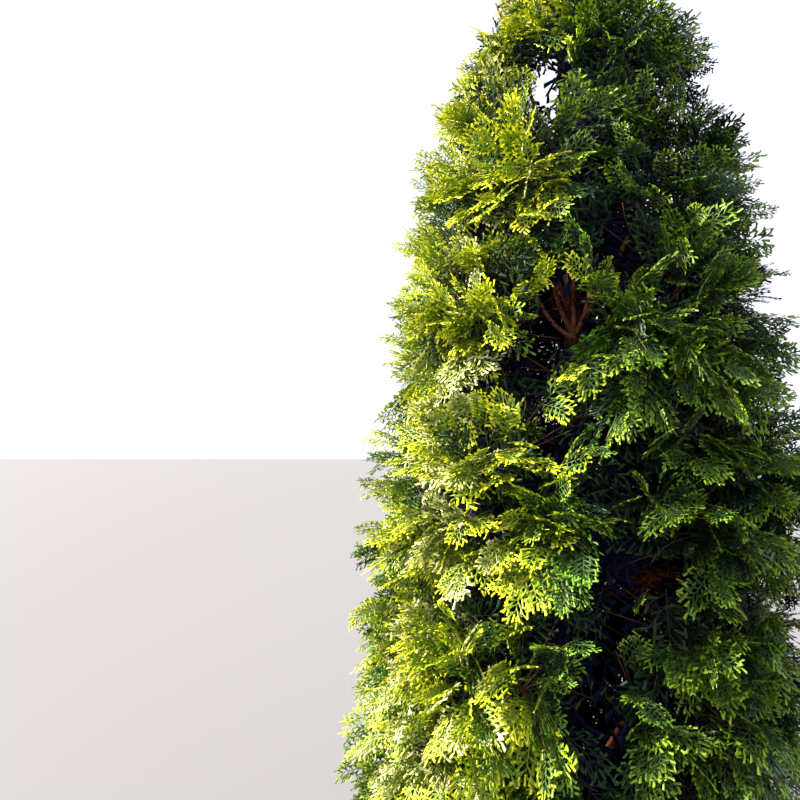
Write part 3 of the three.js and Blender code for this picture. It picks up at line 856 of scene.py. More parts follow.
class Sprays:
    """The sprays of one piece, listed as they grow and stamped out all at once."""

    def __init__(self):
        self.rows = []

    def add(self, seats, ways, flats, lengths, kinds, finishes, droops):
        """Lists sprays: where each is seated, its way and its flat, and all else that it is made by."""
        self.rows.append((seats, ways, flats, lengths, kinds, finishes, droops))

    def stamp(self, templates):
        """All listed sprays as points, triangles, places in the list of materials, and normals."""
        seats, ways, flats, lengths, kinds, finishes, droops = (np.concatenate(c) for c in zip(*self.rows))
        upward = np.cross(ways, flats)
        points = []
        normals = []
        faces = []
        slots = []
        base = 0
        for kind, (shape, leanings, triangles, young_lit_tips) in enumerate(templates):
            rows = np.flatnonzero(kinds == kind)
            if not len(rows):
                continue
            size = lengths[rows, None, None]
            axes = np.stack([ways[rows], flats[rows], upward[rows]], axis=1)
            placed = shape @ axes
            normals.append((leanings @ axes).reshape(-1, 3))
            sag = droops[rows, None] * shape[None, :, 0] ** 2
            placed[..., 2] -= sag
            placed = seats[rows, None] + size * placed
            points.append(placed.reshape(-1, 3))
            starts = base + len(shape) * np.arange(len(rows))
            faces.append((starts[:, None, None] + triangles[None]).reshape(-1, 3))
            # Each colour has two materials, the second for its young tips, lighter partly as new growth and
            # partly as painted light
            slots.append((2 * finishes[rows, None] + young_lit_tips[None]).ravel())
            base += len(shape) * len(rows)
        return tuple(np.concatenate(column) for column in (points, faces, slots, normals))


# Colours of the foliage, most of them painted light and shade, from full sun to near-black inner shade.
# Each has the colour of its body and of its tips, lighter partly as younger growth and partly as painted
# light, and a level of shine, where 0.5 is what a leaf's surface usually has

# In order: painted full sun, painted lesser light, painted half shade, painted shade, painted deep inner
# shade, wax with a painted sky sheen, dried leaf, painted sky light on the shaded side, painted glints
SUNNY, LIT, HALF_SHADE, DEEP_SHADE, SHADE, SILVERY, DEAD, SKY_LIT, GLINT = range(9)
LEAF_COLOURS_AND_PAINTED_LIGHT = [
    # Painted full sunlight: a warm yellow-green
    ("full_sun_scale_leaf", "#768E06", "#D8DC26", 0.6),
    # Painted direct light, less than full: a clear green with yellow in it
    ("lit_scale_leaf", "#406006", "#98AE12", 0.5),
    # Painted half shade: a cooler, quieter green
    ("half_shade_scale_leaf", "#22400E", "#608A1A", 0.5),
    # Painted shade behind the skin: deep green, hardly a shine
    ("deep_shade_scale_leaf", "#14221A", "#243C1C", 0.15),
    # Painted deep shade on the inner leaf: near black, a little blue
    ("shaded_scale_leaf", "#15172C", "#1A1D34", 0.0),
    # Leaf with more wax on it, on the shaded side: a grey bloom over the green, partly a painted bluish
    # sheen of the sky
    ("waxy_sky_sheen_scale_leaf", "#2E4638", "#60805E", 0.5),
    # Dried leaf that still hangs on: orange-brown and dull
    ("dead_scale_leaf", "#45220F", "#A0522A", 0.2),
    # Painted sky light on the skin of the shaded side: an even mid green
    ("sky_lit_scale_leaf", "#38540E", "#74941E", 0.5),
    # Painted glints on the outermost tips in the sun: straw-yellow tips, with a bright shine
    ("painted_glint_scale_leaf", "#6C8018", "#DAD98E", 1.0),
]
BODY_ROUGHNESS = 0.5
TIP_ROUGHNESS = 0.42

# How much painted light a spray's colour gets: how squarely it faces the sun, from -1 to 1, changed by all
# that follows
SUN_WAY = unit([-0.93, 0.14, 0.33])
DEPTH_SHADE = 2.6  # for each metre behind the skin
SUNK_SHADE = 0.45  # for a spray near the foot of its shoot
SPRAY_LIGHT_STRAY = 0.2
SHOOT_LIGHT_STRAY = 0.15
EVEN_LIGHT = 0.12
BACK_SHADE = 0.7  # on the back, and fading round the flanks
BACK_START = 0.35
FLANK_SHADE = 0.5  # on the far left flank, which the sun strikes squarely
FLANK_START = 0.62
FLANK_LENGTH = 0.38
SUNNY_SIDE = 0.1  # what faces the sun more than that
TOP_LIGHT = 0.3
TOP_LIGHT_FOOT = 2.5
TOP_LIGHT_RISE = 0.4
FRONT_LIGHT = 0.26
FRONT_GAIN = -1.5  # negative, as the front is where the azimuth's sine is
CLEFT_SHADE = 0.4  # beside the dark cleft low down
CLEFT_ACROSS = 0.06
CLEFT_WIDTH = 0.12
CLEFT_TOP = 1.7
CLEFT_FALL = 0.3

# The painted light tone from this much light up, and the near-black painted shade for what has less
LIGHT_LEAST = [(DEEP_SHADE, -1.6), (HALF_SHADE, -0.95), (LIT, -0.1), (SUNNY, 0.34)]
AWAY_SIDE = -0.2  # what faces the sun less than that gets the painted half shade at the lightest
LUSH_SIDE = -0.1  # what faces the sun less than that gets the painted sky light if it has this much light, with a lift
LUSH_LEAST = -0.5
LUSH_LIFT = 0.35

# The share of sunny sprays that get pale tips as painted glints, by how they face the sun, their height and
# the front
PALE_SHARE = 0.58
PALE_START = 0.15
PALE_LENGTH = 0.4
PALE_TOP = 2.4  # they get rarer in the last metre below this height
PALE_LEAST = 0.3
PALE_FRONT = 0.2
PALE_GAIN = 2

# The share of the half-shaded sprays on the shaded side that are waxy, with a partly painted bluish sky
# sheen, low down and from a height up
WAXY_LOW = 0.2
WAXY_LOW_TOP = 1.6
WAXY_HIGH = 0.42
WAXY_HIGH_FOOT = 1.9
WAXY_HIGH_RISE = 0.5


def scale_leaf(name, colour, roughness, shine):
    """Living scale leaves, pressed flat on the branchlet: a thin wax gives them a low soft shine."""
    return plain_material(
        name,
        {"Base Color": linear(colour), "Roughness": roughness, "IOR": 1.45, "Specular IOR Level": shine},
    )


def foliage_colours_and_painted_light():
    """The materials of all foliage colours, most of them painted light or shade: for each its body, then
    its tips, which are a little smoother.
    """
    made = []
    for name, body, tip, shine in LEAF_COLOURS_AND_PAINTED_LIGHT:
        made.append(scale_leaf(name + "_body", body, BODY_ROUGHNESS, shine))
        made.append(scale_leaf(name + "_tip", tip, TIP_ROUGHNESS, shine))
    return made


def light_on(points, sunk, rng):
    """How much painted light each spray's colour gets by its place, and how squarely its side of the crown
    faces the sun.
    """
    azimuth, away = about_trunk(points)
    z = points[:, 2]
    reach = crown_radius(z, azimuth) * shoulder(azimuth, z)
    facing = outward(azimuth) @ SUN_WAY
    sunny_side = facing > SUNNY_SIDE
    front = np.sin(azimuth) < 0
    depth = np.maximum(0, reach - away)
    light = facing - DEPTH_SHADE * depth - SUNK_SHADE * sunk
    light = light + rng.normal(0, SPRAY_LIGHT_STRAY, len(points)) + rng.normal(0, SHOOT_LIGHT_STRAY)
    light += EVEN_LIGHT - BACK_SHADE * np.maximum(0, np.sin(azimuth) + BACK_START)
    light -= FLANK_SHADE * grade(-np.cos(azimuth), FLANK_START, FLANK_LENGTH)
    light += TOP_LIGHT * grade(z, TOP_LIGHT_FOOT, TOP_LIGHT_RISE) * sunny_side
    light += FRONT_LIGHT * np.clip(FRONT_GAIN * np.sin(azimuth), 0, 1) * sunny_side
    off_cleft = (points @ ACROSS - CLEFT_ACROSS) / CLEFT_WIDTH
    near_cleft = np.exp(-(off_cleft**2)) * grade(z, CLEFT_TOP, -CLEFT_FALL)
    light -= CLEFT_SHADE * near_cleft * front
    return light, facing, azimuth


def deal_painted_light(points, sunk, rng):
    """A colour for each spray by its place, as painted light and shade: yellower on the sunny side and at
    the skin, darker inside.
    """
    light, facing, azimuth = light_on(points, sunk, rng)
    z = points[:, 2]
    finish = np.full(len(points), SHADE)
    for tone, least in LIGHT_LEAST:
        finish[light > least] = tone
    # Painted half shade at the least on the side away from the sun, and painted sky light on its lighter
    # sprays
    turned_away = facing < AWAY_SIDE
    finish[turned_away] = np.maximum(finish[turned_away], HALF_SHADE)
    lifted = light + LUSH_LIFT * np.maximum(0, -facing)
    finish[(facing < LUSH_SIDE) & (lifted > LUSH_LEAST)] = SKY_LIT
    # Painted glints: pale tips on some of the sunniest sprays
    glint_chance = PALE_SHARE * grade(facing, PALE_START, PALE_LENGTH) * np.clip(PALE_TOP - z, PALE_LEAST, 1)
    glint_chance *= np.clip(PALE_FRONT - PALE_GAIN * np.sin(azimuth), 0, 1)
    finish[(rng.random(len(points)) < glint_chance) & (finish == SUNNY)] = GLINT
    waxy_share = np.where(z < WAXY_LOW_TOP, WAXY_LOW, WAXY_HIGH * grade(z, WAXY_HIGH_FOOT, WAXY_HIGH_RISE))
    waxy = rng.random(len(points)) < waxy_share
    finish[waxy & (facing < 0) & (finish == HALF_SHADE)] = SILVERY
    return finish


# Sprays on the shoots and behind the skin

# The fine sprays along a shoot, counted from its tip
SPRAYS_ON_SHOOT = 6
FAN_LENGTH = 0.135
FAN_FIRST = 0.09  # from the shoot's tip back to the spray that it ends in
FAN_STEP = 0.033  # along the shoot, from one spray to the next
FAN_SPAN = 0.9  # share of a short shoot that the sprays keep to
FAN_SHIFT = 0.012  # how far they stray along it, as a share of the shoot
FAN_OPENING = 0.6  # how far those at its sides open from it, in radians
FAN_OPENING_STRAY = 0.14
FAN_YOUNGEST = 0.74  # length of the spray at the tip, as a share of the full-grown ones'
FAN_GROWN = 2  # from the tip, the first spray that is full-grown
FAN_SUNK = 6  # and over how many more the painted light fades
FAN_JITTER = (0.85, 1.15)
APEX_TAPER = 0.6  # the height below the tip in which the sprays get smaller
APEX_SPARE = 0.1
APEX_LEAST = 0.45

# The leader's own sprays
LEADER_SPRAYS = 34
LEADER_FOOT = 3.46
LEADER_SPARE = 0.035  # how far below its tip they end
LEADER_LEAN = 0.55  # outward, for each part that they rise
LEADER_LENGTHS = (0.05, 0.08)

# How a spray turns about its own length and nods, in radians, and how it hangs and droops by height
RUFFLE = 0.42
NOD = 0.24
HANG_LOW = 0.46  # how steeply the low sprays turn down from their shoot
HANG_LESS = 0.19  # and how much less for each metre up
DROOP_LOW = 0.28
DROOP_LESS = 0.11
DROOP_LIMITS = (-0.1, 0.4)
DROOP_STRAY = 0.07
SPRAY_MIDDLE = 0.55  # shares of its length: its middle, half its middle's width, half its whole width
SPRAY_WING = 0.24
SPRAY_HALF_SPAN = 0.45
SPRAY_LOWEST = 0.03
SPRAY_HIGHEST = TREE_HEIGHT + 0.05

# Layers behind the skin that close the crown, coloured as painted shade, one deep green and one near black:
# the share of the crown's reach, the spacing and the length of the sprays
BACKING = (0.73, 0.095, 0.15)
INNER = (0.52, 0.09, 0.22)
LAYER_TRIES = 900
LAYER_BURIED = 0.09
LAYER_PROUD = 0.06
LAYER_ROOM = 0.42  # the crown's reach below which the sprays get shorter
LAYER_LEAST = 0.3  # and their least share of the full length
LAYER_FANS = 2
LAYER_LEAN = 0.2
LAYER_JITTER = (0.8, 1.2)
LAYER_SEAT = 0.35  # share of the spray's length that lies behind its place
LAYER_POINTS = 4
SLENDER_TIER = 4  # from this tier up the crown is so slender that sky shines through its inner sprays

# Radii and numbers of points and sides of the finest limbs
SHOOT_RADIUS = 0.0032
SHOOT_TIP_RADIUS = 0.0011
SHOOT_POINTS = 8
SHOOT_SIDES = 3


def dress_shoot(shoot, mass, sprays):
    """Sprays along a shoot: one at its tip, then to either side in turn, smaller towards the tip."""
    rng = mass.own
    rank = np.arange(SPRAYS_ON_SHOOT)
    count = len(rank)
    step = min(FAN_STEP, (FAN_SPAN * shoot.length - FAN_FIRST) / (SPRAYS_ON_SHOOT - 1))
    share = 1 - (FAN_FIRST + step * rank) / shoot.length + rng.normal(0, FAN_SHIFT, count)
    seats, ways = bezier(shoot.foot, shoot.bend, shoot.tip, share)
    across = unit(np.cross(UP, ways) + SIDE_NUDGE * mass.side)
    across = rotated(across, ways, np.full(count, shoot.roll))
    hand = np.where(rank % 2 == 0, 1.0, -1.0) * (1 if shoot.roll > 0 else -1)
    opening = np.where(rank == 0, 0.0, hand * (FAN_OPENING + rng.normal(0, FAN_OPENING_STRAY, count)))
    onward = np.cos(opening)[:, None] * ways + np.sin(opening)[:, None] * across
    flats = unit(np.cross(np.cross(ways, across), onward))
    growth = FAN_YOUNGEST + (1 - FAN_YOUNGEST) * np.minimum(1, rank / FAN_GROWN)
    growth *= np.clip((TREE_HEIGHT + APEX_SPARE - shoot.tip[2]) / APEX_TAPER, APEX_LEAST, 1)
    lengths = FAN_LENGTH * growth * rng.uniform(*FAN_JITTER, count)
    kinds = rng.integers(0, FINE_KINDS, count)
    finishes = deal_painted_light(seats + onward * lengths[:, None], grade(rank, FAN_GROWN, FAN_SUNK), rng)
    add_sprays(mass, sprays, seats, onward, flats, lengths, kinds, finishes)


def dress_leader(mass, sprays):
    """Short upright sprays all round the last part of the leader."""
    rng = mass.own
    seats = trunk_centre(np.linspace(LEADER_FOOT, TREE_HEIGHT - LEADER_SPARE, LEADER_SPRAYS))
    around = GOLDEN_ANGLE * np.arange(LEADER_SPRAYS)
    onward = unit(LEADER_LEAN * outward(around) + UP)
    flats = unit(np.cross(UP, onward))
    lengths = rng.uniform(*LEADER_LENGTHS, LEADER_SPRAYS)
    kinds = rng.integers(0, FINE_KINDS, LEADER_SPRAYS)
    finishes = deal_painted_light(seats + onward * lengths[:, None], np.zeros(LEADER_SPRAYS), rng)
    add_sprays(mass, sprays, seats, onward, flats, lengths, kinds, finishes)


def add_sprays(mass, sprays, seats, onward, flats, lengths, kinds, finishes):
    """Lists sprays with a ruffle of their own, and leaves out those that would close a gap."""
    rng = mass.own
    count = len(seats)
    flats = rotated(flats, onward, rng.normal(0, RUFFLE, count))
    nod = rng.normal(0, NOD, (count, 1))
    hang = np.clip(HANG_LOW - HANG_LESS * seats[:, 2], 0, None)[:, None]
    onward = unit(onward + nod * np.cross(onward, flats) - hang * UP)
    flats = unit(flats - np.sum(flats * onward, axis=1, keepdims=True) * onward)
    tips = seats + onward * lengths[:, None]
    middles = seats + SPRAY_MIDDLE * onward * lengths[:, None]
    wing = SPRAY_WING * flats * lengths[:, None]
    droop = np.clip(DROOP_LOW - DROOP_LESS * seats[:, 2], *DROOP_LIMITS) + rng.normal(0, DROOP_STRAY, count)
    half_span = SPRAY_HALF_SPAN * lengths * np.abs(flats[:, 2])
    lowest = np.minimum(tips[:, 2] - lengths * droop, seats[:, 2]) - half_span
    keep = ~in_gap(tips) & ~in_gap(middles, RIM_SPARE)
    keep &= ~in_gap(middles, gaps=CLEFTS) & ~in_gap(tips, gaps=CLEFTS)
    keep |= rng.random(count) < RIM_STRAY
    keep &= (lowest > SPRAY_LOWEST) & (tips[:, 2] < SPRAY_HIGHEST)
    keep &= ~in_gap(middles, gaps=THIN_PLACES) | (rng.random(count) > THIN_SHARE)
    strays = (rng.random(count) < TIP_STRAY) & (kinds < FINE_KINDS)
    keep &= ~in_gap(tips, gaps=CLEAR_VIEWS) | strays
    for place in (seats, middles, middles + wing, middles - wing):
        keep &= ~in_gap(place, gaps=CLEAR_VIEWS)
    listed = (seats, onward, flats, lengths, kinds, finishes, droop)
    sprays.add(*[column[keep] for column in listed])


def layer_sprays(mass, twigs, sprays, layer, finish, family):
    """Sprays behind the skin, broadside to it, on short twigs that leave the nearest limb."""
    rng = mass.own
    share, spacing, length = layer
    skin = skin_points(mass, LAYER_TRIES, LAYER_BURIED, LAYER_PROUD, share)
    places = np.array(thin_out(skin, [], spacing))
    if not len(places):
        return []
    limbs = limb_points(mass, twigs)
    tubes = []
    for place in places:
        foot = limbs[np.argmin(np.linalg.norm(limbs - place, axis=1))]
        line = foot + (place - foot) * np.linspace(0, 1, LAYER_POINTS)[:, None]
        if not crosses_sky(line):
            tubes.append(tapered(line, SHOOT_RADIUS, SHOOT_TIP_RADIUS, SHOOT_SIDES))
    seats = np.repeat(places, LAYER_FANS, axis=0)
    count = len(seats)
    radial = unit(seats - trunk_centre(seats[:, 2]) + NUDGE)
    spin = rng.uniform(0, 2 * math.pi, count)
    level = unit(np.cross(UP, radial) + SIDE_NUDGE * mass.side)
    steep = np.cross(radial, level)
    onward = np.cos(spin)[:, None] * level + np.sin(spin)[:, None] * steep
    onward = unit(onward + LAYER_LEAN * radial)
    flats = unit(np.cross(radial, onward))
    room = crown_radius(seats[:, 2], about_trunk(seats)[0]) / LAYER_ROOM
    lengths = length * rng.uniform(*LAYER_JITTER, count) * np.clip(room, LAYER_LEAST, 1)
    seats = seats - LAYER_SEAT * lengths[:, None] * onward
    kinds = rng.integers(*family, count)
    add_sprays(mass, sprays, seats, onward, flats, lengths, kinds, np.full(count, finish))
    return tubes


# Tubes for limbs and twigs, and pieces

# Hints for a ring's first point: no limb that is less than steep runs along the first, and no steep
# one along the second
STEEP = 0.8
LEVEL_HINT = np.array([0.31, 0.17, 0.93])
STEEP_HINT = np.array([1.0, 0.2, 0.1])


def tube(line, radii, sides):
    """A tapering tube along a line of points, closed at its tip, as points and triangles."""
    ways = unit(np.gradient(line, axis=0))
    hint = LEVEL_HINT if abs(ways[0, 2]) < STEEP else STEEP_HINT
    u = unit(hint - np.sum(hint * ways, axis=1, keepdims=True) * ways)
    w = np.cross(ways, u)
    angle = 2 * math.pi * np.arange(sides) / sides
    ring = np.cos(angle)[None, :, None] * u[:, None] + np.sin(angle)[None, :, None] * w[:, None]
    points = (line[:, None] + ring * np.asarray(radii)[:, None, None]).reshape(-1, 3)
    return points, grid_faces(len(line), sides)


def tapered(line, foot_radius, tip_radius, sides):
    """A tube that tapers evenly."""
    return tube(line, np.linspace(foot_radius, tip_radius, len(line)), sides)


def grid_faces(rows, sides):
    """Triangles of a tube's wall, row by row, with its last row closed to a fan."""
    at = np.arange(rows * sides).reshape(rows, sides)
    here, there = at[:-1], at[1:]
    here_on, there_on = np.roll(here, -1, axis=1), np.roll(there, -1, axis=1)
    first = np.stack([here, here_on, there_on], axis=-1).reshape(-1, 3)
    second = np.stack([here, there_on, there], axis=-1).reshape(-1, 3)
    last = at[-1]
    lid = np.stack([np.full(sides - 2, last[0]), last[1:-1], last[2:]], axis=-1)
    return np.concatenate([first, second, lid])


def join(parts):
    """Several (points, triangles) as one."""
    points = []
    faces = []
    base = 0
    for part_points, part_faces in parts:
        points.append(part_points)
        faces.append(part_faces + base)
        base += len(part_points)
    return np.concatenate(points), np.concatenate(faces)


def piece(name, points, faces, finishes, slots=None, normals=None):
    """A mesh object of triangles that rides on the tree."""
    mesh = bpy.data.meshes.new(name)
    mesh.vertices.add(len(points))
    mesh.vertices.foreach_set("co", np.ascontiguousarray(points, np.float32).ravel())
    mesh.loops.add(faces.size)
    mesh.loops.foreach_set("vertex_index", np.ascontiguousarray(faces, np.int32).ravel())
    mesh.polygons.add(len(faces))
    mesh.polygons.foreach_set("loop_start", np.arange(0, faces.size, 3, dtype=np.int32))
    mesh.polygons.foreach_set("use_smooth", np.ones(len(faces), bool))
    for finish in finishes:
        mesh.materials.append(finish)
    if slots is not None:
        mesh.polygons.foreach_set("material_index", np.ascontiguousarray(slots, np.int32))
    mesh.update(calc_edges=True)
    if normals is not None:
        mesh.normals_split_custom_set_from_vertices(normals)
    made = bpy.data.objects.new(name, mesh)
    bpy.context.collection.objects.link(made)
    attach(made, "root")
    return made


def spray_piece(name, sprays, templates, finishes):
    """One piece of all the sprays in a list."""
    points, faces, slots, normals = sprays.stamp(templates)
    return piece(name, points, faces, finishes, slots, normals)


# Bark

# The trunk's points round and up, the lattices of its bark strips and of the fibres on them as rows and
# columns, and the relief in metres
TRUNK_SIDES = 80
TRUNK_ROWS = 190
ROWS_LOW = 1.12  # above 1, the rows lie closer at the foot
STRIPS = (26, 30)
FIBRES = (60, 48)
STRIP_SWAYS = [(0.05, 7), (0.02, 23)]  # how far the strips sway sideways, and how often up the trunk
STRIP_RELIEF = 0.0042
STRIP_EDGE = 0.7  # below 1, the strips are broad and the furrows narrow
STRIP_LEVEL = 0.55
FIBRE_RELIEF = 0.0016
THIN_RELIEF = 0.25  # share of the relief that is left where the trunk is thin

# The bark's colours: how long a strip is for its width, and where in the pattern of light and dark the
# furrows, the strips and their worn edges lie
STRIP_STRETCH = 9
TINT_PLACES = (0.33, 0.52, 0.72)

# A limb, with shares of its radius
LIMB_SWELL = 0.5  # how much thicker its foot is
SWELL_END = 14  # the higher, the sooner that is gone
LIMB_RIPPLE = 0.05


def smooth_noise(rng, rows, columns, u, v):
    """Smooth noise from 0 to 1 on a lattice. It repeats across its columns; u and v run from 0 to 1."""
    lattice = rng.random((rows + 1, columns))
    x, y = u * columns, v * rows
    i = np.floor(x).astype(int)
    j = np.minimum(np.floor(y).astype(int), rows - 1)
    fx, fy = x - i, y - j
    fx, fy = fx * fx * (3 - 2 * fx), fy * fy * (3 - 2 * fy)
    left, right = i % columns, (i + 1) % columns
    low = lattice[j, left] * (1 - fx) + lattice[j, right] * fx
    high = lattice[j + 1, left] * (1 - fx) + lattice[j + 1, right] * fx
    return low * (1 - fy) + high * fy


def bark_trunk():
    """The trunk with its bark: long shallow strips that run up it, parted by dark furrows."""
    rng = np.random.default_rng(BARK_SEED)
    share = np.linspace(0, 1, TRUNK_ROWS) ** ROWS_LOW
    z = TRUNK_TOP * share
    v, u = np.meshgrid(share, np.arange(TRUNK_SIDES) / TRUNK_SIDES, indexing="ij")
    lean = u
    for sway, often in STRIP_SWAYS:
        lean = lean + sway * np.sin(often * v)
    strips = smooth_noise(rng, *STRIPS, lean, v)
    fibres = smooth_noise(rng, *FIBRES, lean, v)
    ridged = 1 - np.abs(2 * strips - 1)
    height = STRIP_RELIEF * (ridged**STRIP_EDGE - STRIP_LEVEL) + FIBRE_RELIEF * (fibres - 0.5)
    angle = 2 * math.pi * u
    radius = trunk_radius(z[:, None], angle)
    radius = radius + height * np.clip(radius / TRUNK_RADIUS, THIN_RELIEF, 1)
    points = trunk_centre(z)[:, None] + radius[..., None] * outward(angle)
    points[0, :, 2] = 0
    return points.reshape(-1, 3), grid_faces(TRUNK_ROWS, TRUNK_SIDES)


def bark_limb(line, foot_radius, tip_radius, sides, rng):
    """A limb with a little unevenness, thicker where it leaves the trunk."""
    share = np.linspace(0, 1, len(line))
    swell = LIMB_SWELL * foot_radius * np.exp(-share * SWELL_END)
    points, faces = tube(line, foot_radius + (tip_radius - foot_radius) * share + swell, sides)
    centres = np.repeat(line, sides, axis=0)
    ripple = rng.normal(0, LIMB_RIPPLE, len(points))
    return centres + (points - centres) * (1 + ripple[:, None]), faces


def fibrous_bark(name, colours, strip_mm, roughness):
    """Thin bark that dries and tears into long fibres: dull, and streaked along the trunk or limb.

    Its colours run from the furrows over the strips to their worn edges, and its scale comes from the
    width of a strip in millimetres."""
    material = new_material(name)
    tree = material.node_tree
    place = add_node(tree, "ShaderNodeTexCoord")
    across = 1000 / strip_mm
    stretched = add_node(
        tree,
        "ShaderNodeMapping",
        {"Scale": (across, across, across / STRIP_STRETCH)},
        {"Vector": place.outputs["Object"]},
    )
    strips = add_node(
        tree,
        "ShaderNodeTexNoise",
        {"Scale": 1.0, "Detail": 5.0, "Roughness": 0.62, "Distortion": 0.35},
        {"Vector": stretched.outputs["Vector"]},
    )
    tint = add_node(tree, "ShaderNodeValToRGB", links={"Fac": strips.outputs["Fac"]})
    stops = tint.color_ramp.elements
    stops.new(TINT_PLACES[1])
    for stop, spot, colour in zip(stops, TINT_PLACES, colours):
        stop.position = spot
        stop.color = linear(colour)
    relief = add_node(
        tree, "ShaderNodeBump", {"Strength": 0.7, "Distance": 0.002}, {"Height": strips.outputs["Fac"]}
    )
    shader = add_node(
        tree,
        "ShaderNodeBsdfPrincipled",
        {"Roughness": roughness, "IOR": 1.5},
        {"Base Color": tint.outputs["Color"], "Normal": relief.outputs["Normal"]},
    )
    add_node(tree, "ShaderNodeOutputMaterial", links={"Surface": shader.outputs[0]})
    return material


def twig_skin(name, colour, roughness):
    """Smooth skin of young twigs, too thin to tear: one even colour at this size, with a faint shine."""
    return plain_material(name, {"Base Color": linear(colour), "Roughness": roughness, "IOR": 1.5})


# The tree

BOUGH_POINTS = 22
BOUGH_SIDES = 10

# The limbs of the fork: height of the foot, bend and tip as across and up, and how far to the front
FORK = [
    (2.02, (-0.10, 2.05), (-0.16, 2.38), 0.10),
    (2.04, (-0.05, 2.09), (-0.06, 2.42), 0.11),
    (2.01, (0.02, 2.12), (0.02, 2.46), 0.09),
    (2.03, (0.07, 2.07), (0.12, 2.40), 0.09),
    (1.96, (0.15, 2.00), (0.25, 2.30), 0.12),
]
FORK_SINK = 0.5  # of the trunk's radius
FORK_TIP_FORWARD = 0.7  # of how far to the front the bend is
FORK_RADIUS = 0.0085
FORK_TIP_RADIUS = 0.0045
FORK_POINTS = 18
FORK_SIDES = 8

STEM_POINTS = 12
STEM_SIDES = 6
TWIG_POINTS = 5
TWIG_SIDES = 5
TWIG_TAPER = 0.6  # of its radius is left at a main twig's end

# Dead twigs in each hollow, and tufts on each of them. The reaches are shares of the hollow's half-size
DEAD_USUAL = (9, 2)
DEAD_MOST = (22, 4)
DEAD_MOST_HEIGHT = 1.240  # of the hollow that has the most
DEAD_FOOT_REACH = 1.3
DEAD_TURN = 1.4
DEAD_ACROSS_REACH = 1.3
DEAD_UP_REACH = 1.2
DEAD_OUTWARD = 0.22
DEAD_OUTWARD_SHARES = (0.3, 1.2)
DEAD_BEND = 0.03
DEAD_POINTS = 7
DEAD_RADIUS = 0.0028
DEAD_TIP_RADIUS = 0.001
TUFT_PLACES = (0.35, 1.0)
TUFT_STRAY = 0.5
TUFT_LENGTHS = (0.035, 0.075)
TUFT_BROWN = 0.6  # share of the tufts that are still brown, the rest near black as painted shade
TUFT_DROOP = 0.4


def make_trunk():
    """Old bark of the trunk: matt, a dark brown with little red left in it, paler at the worn edges."""
    bark = fibrous_bark("weathered_bark", ["#24110F", "#4E2C25", "#7A5246"], 7.0, 0.85)
    made = piece("trunk_bark_relief", *bark_trunk(), [bark])
    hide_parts("trunk")


def fork_limbs(rng):
    """Slender limbs that part from the trunk at the fork on the open side."""
    front = unit([OPEN_SIDE[0], OPEN_SIDE[1], 0])
    parts = []
    for foot_height, bend, tip, forward in FORK:
        foot = trunk_centre(foot_height) + FORK_SINK * trunk_radius(foot_height) * front
        bend_point = ACROSS * bend[0] + UP * bend[1] + front * forward
        tip_point = ACROSS * tip[0] + UP * tip[1] + front * FORK_TIP_FORWARD * forward
        line, _ = bezier(foot, bend_point, tip_point, np.linspace(0, 1, FORK_POINTS))
        parts.append(bark_limb(line, FORK_RADIUS, FORK_TIP_RADIUS, FORK_SIDES, rng))
    return parts


def make_boughs(masses):
    """Boughs and fork under the redder bark of young limbs, paler than it is as painted light, its palest
    edges partly painted highlights: finer strips, and a slight sheen.
    """
    rng = np.random.default_rng(BOUGH_SEED)
    parts = []
    carried = [mass for mass in masses if not mass.is_top]
    for mass in carried:
        line, _ = bezier(*bough_line(mass), np.linspace(0, 1, BOUGH_POINTS))
        radii = thinned(BOUGH_RADIUS, mass), thinned(BOUGH_TIP_RADIUS, mass)
        parts.append(bark_limb(line, *radii, BOUGH_SIDES, rng))
    parts += fork_limbs(rng)
    # Lighter than the bark is, as painted light on the shaded fork; the palest stop is partly a painted
    # highlight
    bark = fibrous_bark("young_bark_painted_light", ["#6E3424", "#C47256", "#EEBC9E"], 4.0, 0.5)
    made = piece("bough_bark_relief", *join(parts), [bark])
    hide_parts(*[f"bough_{mass.name}" for mass in carried])


def woody_twigs(mass, twigs):
    """The stem and the main twigs of a mass as tubes."""
    line, _ = bezier(*stem_line(mass), np.linspace(0, 1, STEM_POINTS))
    top = TRUNK_TIP_RADIUS if mass.is_top else thinned(BOUGH_TIP_RADIUS, mass)
    tubes = [tapered(line, top, STEM_TIP_RADIUS, STEM_SIDES)]
    for foot, direction, length in twigs:
        line = foot + direction * length * np.linspace(0, 1, TWIG_POINTS)[:, None]
        if not crosses_sky(line):
            tubes.append(tapered(line, TWIG_RADIUS, TWIG_TAPER * TWIG_RADIUS, TWIG_SIDES))
    return tubes


def green_shoots(shoots):
    """The shoots of a mass as tubes, up to the spray that each ends in."""
    lines = [shoot.line(SHOOT_POINTS)[:-1] for shoot in shoots]
    return [tapered(line, SHOOT_RADIUS, SHOOT_TIP_RADIUS, SHOOT_SIDES) for line in lines]


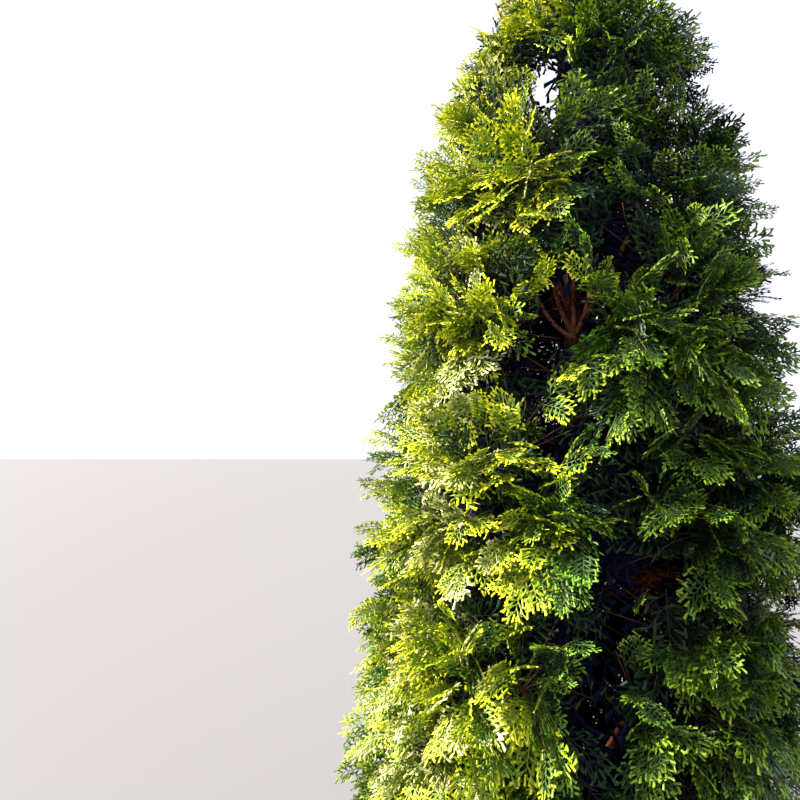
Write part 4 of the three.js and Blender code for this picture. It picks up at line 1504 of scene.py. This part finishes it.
def dead_shoots(rng):
    """Bare brown twigs inside the hollows, left behind as the crown grew outward."""
    tubes = []
    sprays = Sprays()
    for across, up, wide, tall, through in GAPS:
        if through:
            continue
        count, tufts = DEAD_MOST if up == DEAD_MOST_HEIGHT else DEAD_USUAL
        foot_z = up + rng.uniform(-DEAD_FOOT_REACH, DEAD_FOOT_REACH, count) * tall
        open_azimuth = math.atan2(OPEN_SIDE[1], OPEN_SIDE[0])
        azimuth = open_azimuth + rng.uniform(-DEAD_TURN, DEAD_TURN, count)
        middle = ACROSS * across + UP * up
        for z, turn in zip(foot_z, azimuth):
            foot = trunk_centre(z) + outward(turn) * trunk_radius(z)
            ring = middle + ACROSS * wide * rng.uniform(-DEAD_ACROSS_REACH, DEAD_ACROSS_REACH)
            ring = ring + UP * tall * rng.uniform(-DEAD_UP_REACH, DEAD_UP_REACH)
            tip = ring + DEAD_OUTWARD * outward(turn) * rng.uniform(*DEAD_OUTWARD_SHARES)
            bend = (foot + tip) / 2 + rng.normal(0, DEAD_BEND, 3)
            line, _ = bezier(foot, bend, tip, np.linspace(0, 1, DEAD_POINTS))
            tubes.append(tapered(line, DEAD_RADIUS, DEAD_TIP_RADIUS, SHOOT_SIDES))
            hang_tufts(rng, tufts, (foot, bend, tip), sprays)
    return tubes, sprays


def hang_tufts(rng, count, twig, sprays):
    """Small dried sprays along a dead twig, every way round: some brown, the rest near black as painted
    shade.
    """
    seats, ways = bezier(*twig, rng.uniform(*TUFT_PLACES, count))
    ways = unit(ways + rng.normal(0, TUFT_STRAY, (count, 3)))
    flats = unit(np.cross(ways, rng.normal(0, 1, (count, 3))))
    lengths = rng.uniform(*TUFT_LENGTHS, count)
    kinds = FINE_KINDS + rng.integers(0, COARSE_KINDS, count)
    finish = np.where(rng.random(count) < TUFT_BROWN, DEAD, SHADE)
    sprays.add(seats, ways, flats, lengths, kinds, finish, rng.uniform(0, TUFT_DROOP, count))


def make_twigs(woody, green):
    """All twigs as one piece: brown skin on the woody ones, olive skin on the green shoots."""
    skins = [twig_skin("twig_skin", "#4E2A1E", 0.6), twig_skin("shoot_skin", "#45401A", 0.55)]
    points, faces = join(woody + green)
    woody_faces = sum(len(tube_faces) for _, tube_faces in woody)
    slots = np.where(np.arange(len(faces)) < woody_faces, 0, 1)
    made = piece("twigs", points, faces, skins, slots)


def make_foliage(masses):
    """Grows every mass, and joins the sprays of each tier to one piece and all twigs to another."""
    templates = spray_templates()
    finishes = foliage_colours_and_painted_light()
    woody = []
    green = []
    by_tier = {}
    for mass in masses:
        twigs = main_twigs(mass)
        shoots = grow_shoots(mass, twigs)
        sprays, nodes = by_tier.setdefault(min(mass.tier, len(TIERS) - 1), (Sprays(), []))
        nodes.append(f"foliage_{mass.name}")
        for shoot in shoots:
            dress_shoot(shoot, mass, sprays)
        if mass.is_top:
            dress_leader(mass, sprays)
        woody += woody_twigs(mass, twigs)
        woody += layer_sprays(mass, twigs, sprays, BACKING, DEEP_SHADE, COARSE)
        inner = BROAD if mass.tier < SLENDER_TIER else COARSE
        woody += layer_sprays(mass, twigs, sprays, INNER, SHADE, inner)
        green += green_shoots(shoots)
    for tier, (sprays, nodes) in by_tier.items():
        made = spray_piece(f"sprays_tier_{tier + 1}", sprays, templates, finishes)
        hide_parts(*nodes)
    dead, dead_sprays = dead_shoots(np.random.default_rng(DEAD_SEED))
    made = spray_piece("dead_sprays", dead_sprays, templates, finishes)
    make_twigs(woody + dead, green)


make_camera()
light_studio()
lay_floor()
masses = lay_out_masses()
make_trunk()
make_boughs(masses)
make_foliage(masses)
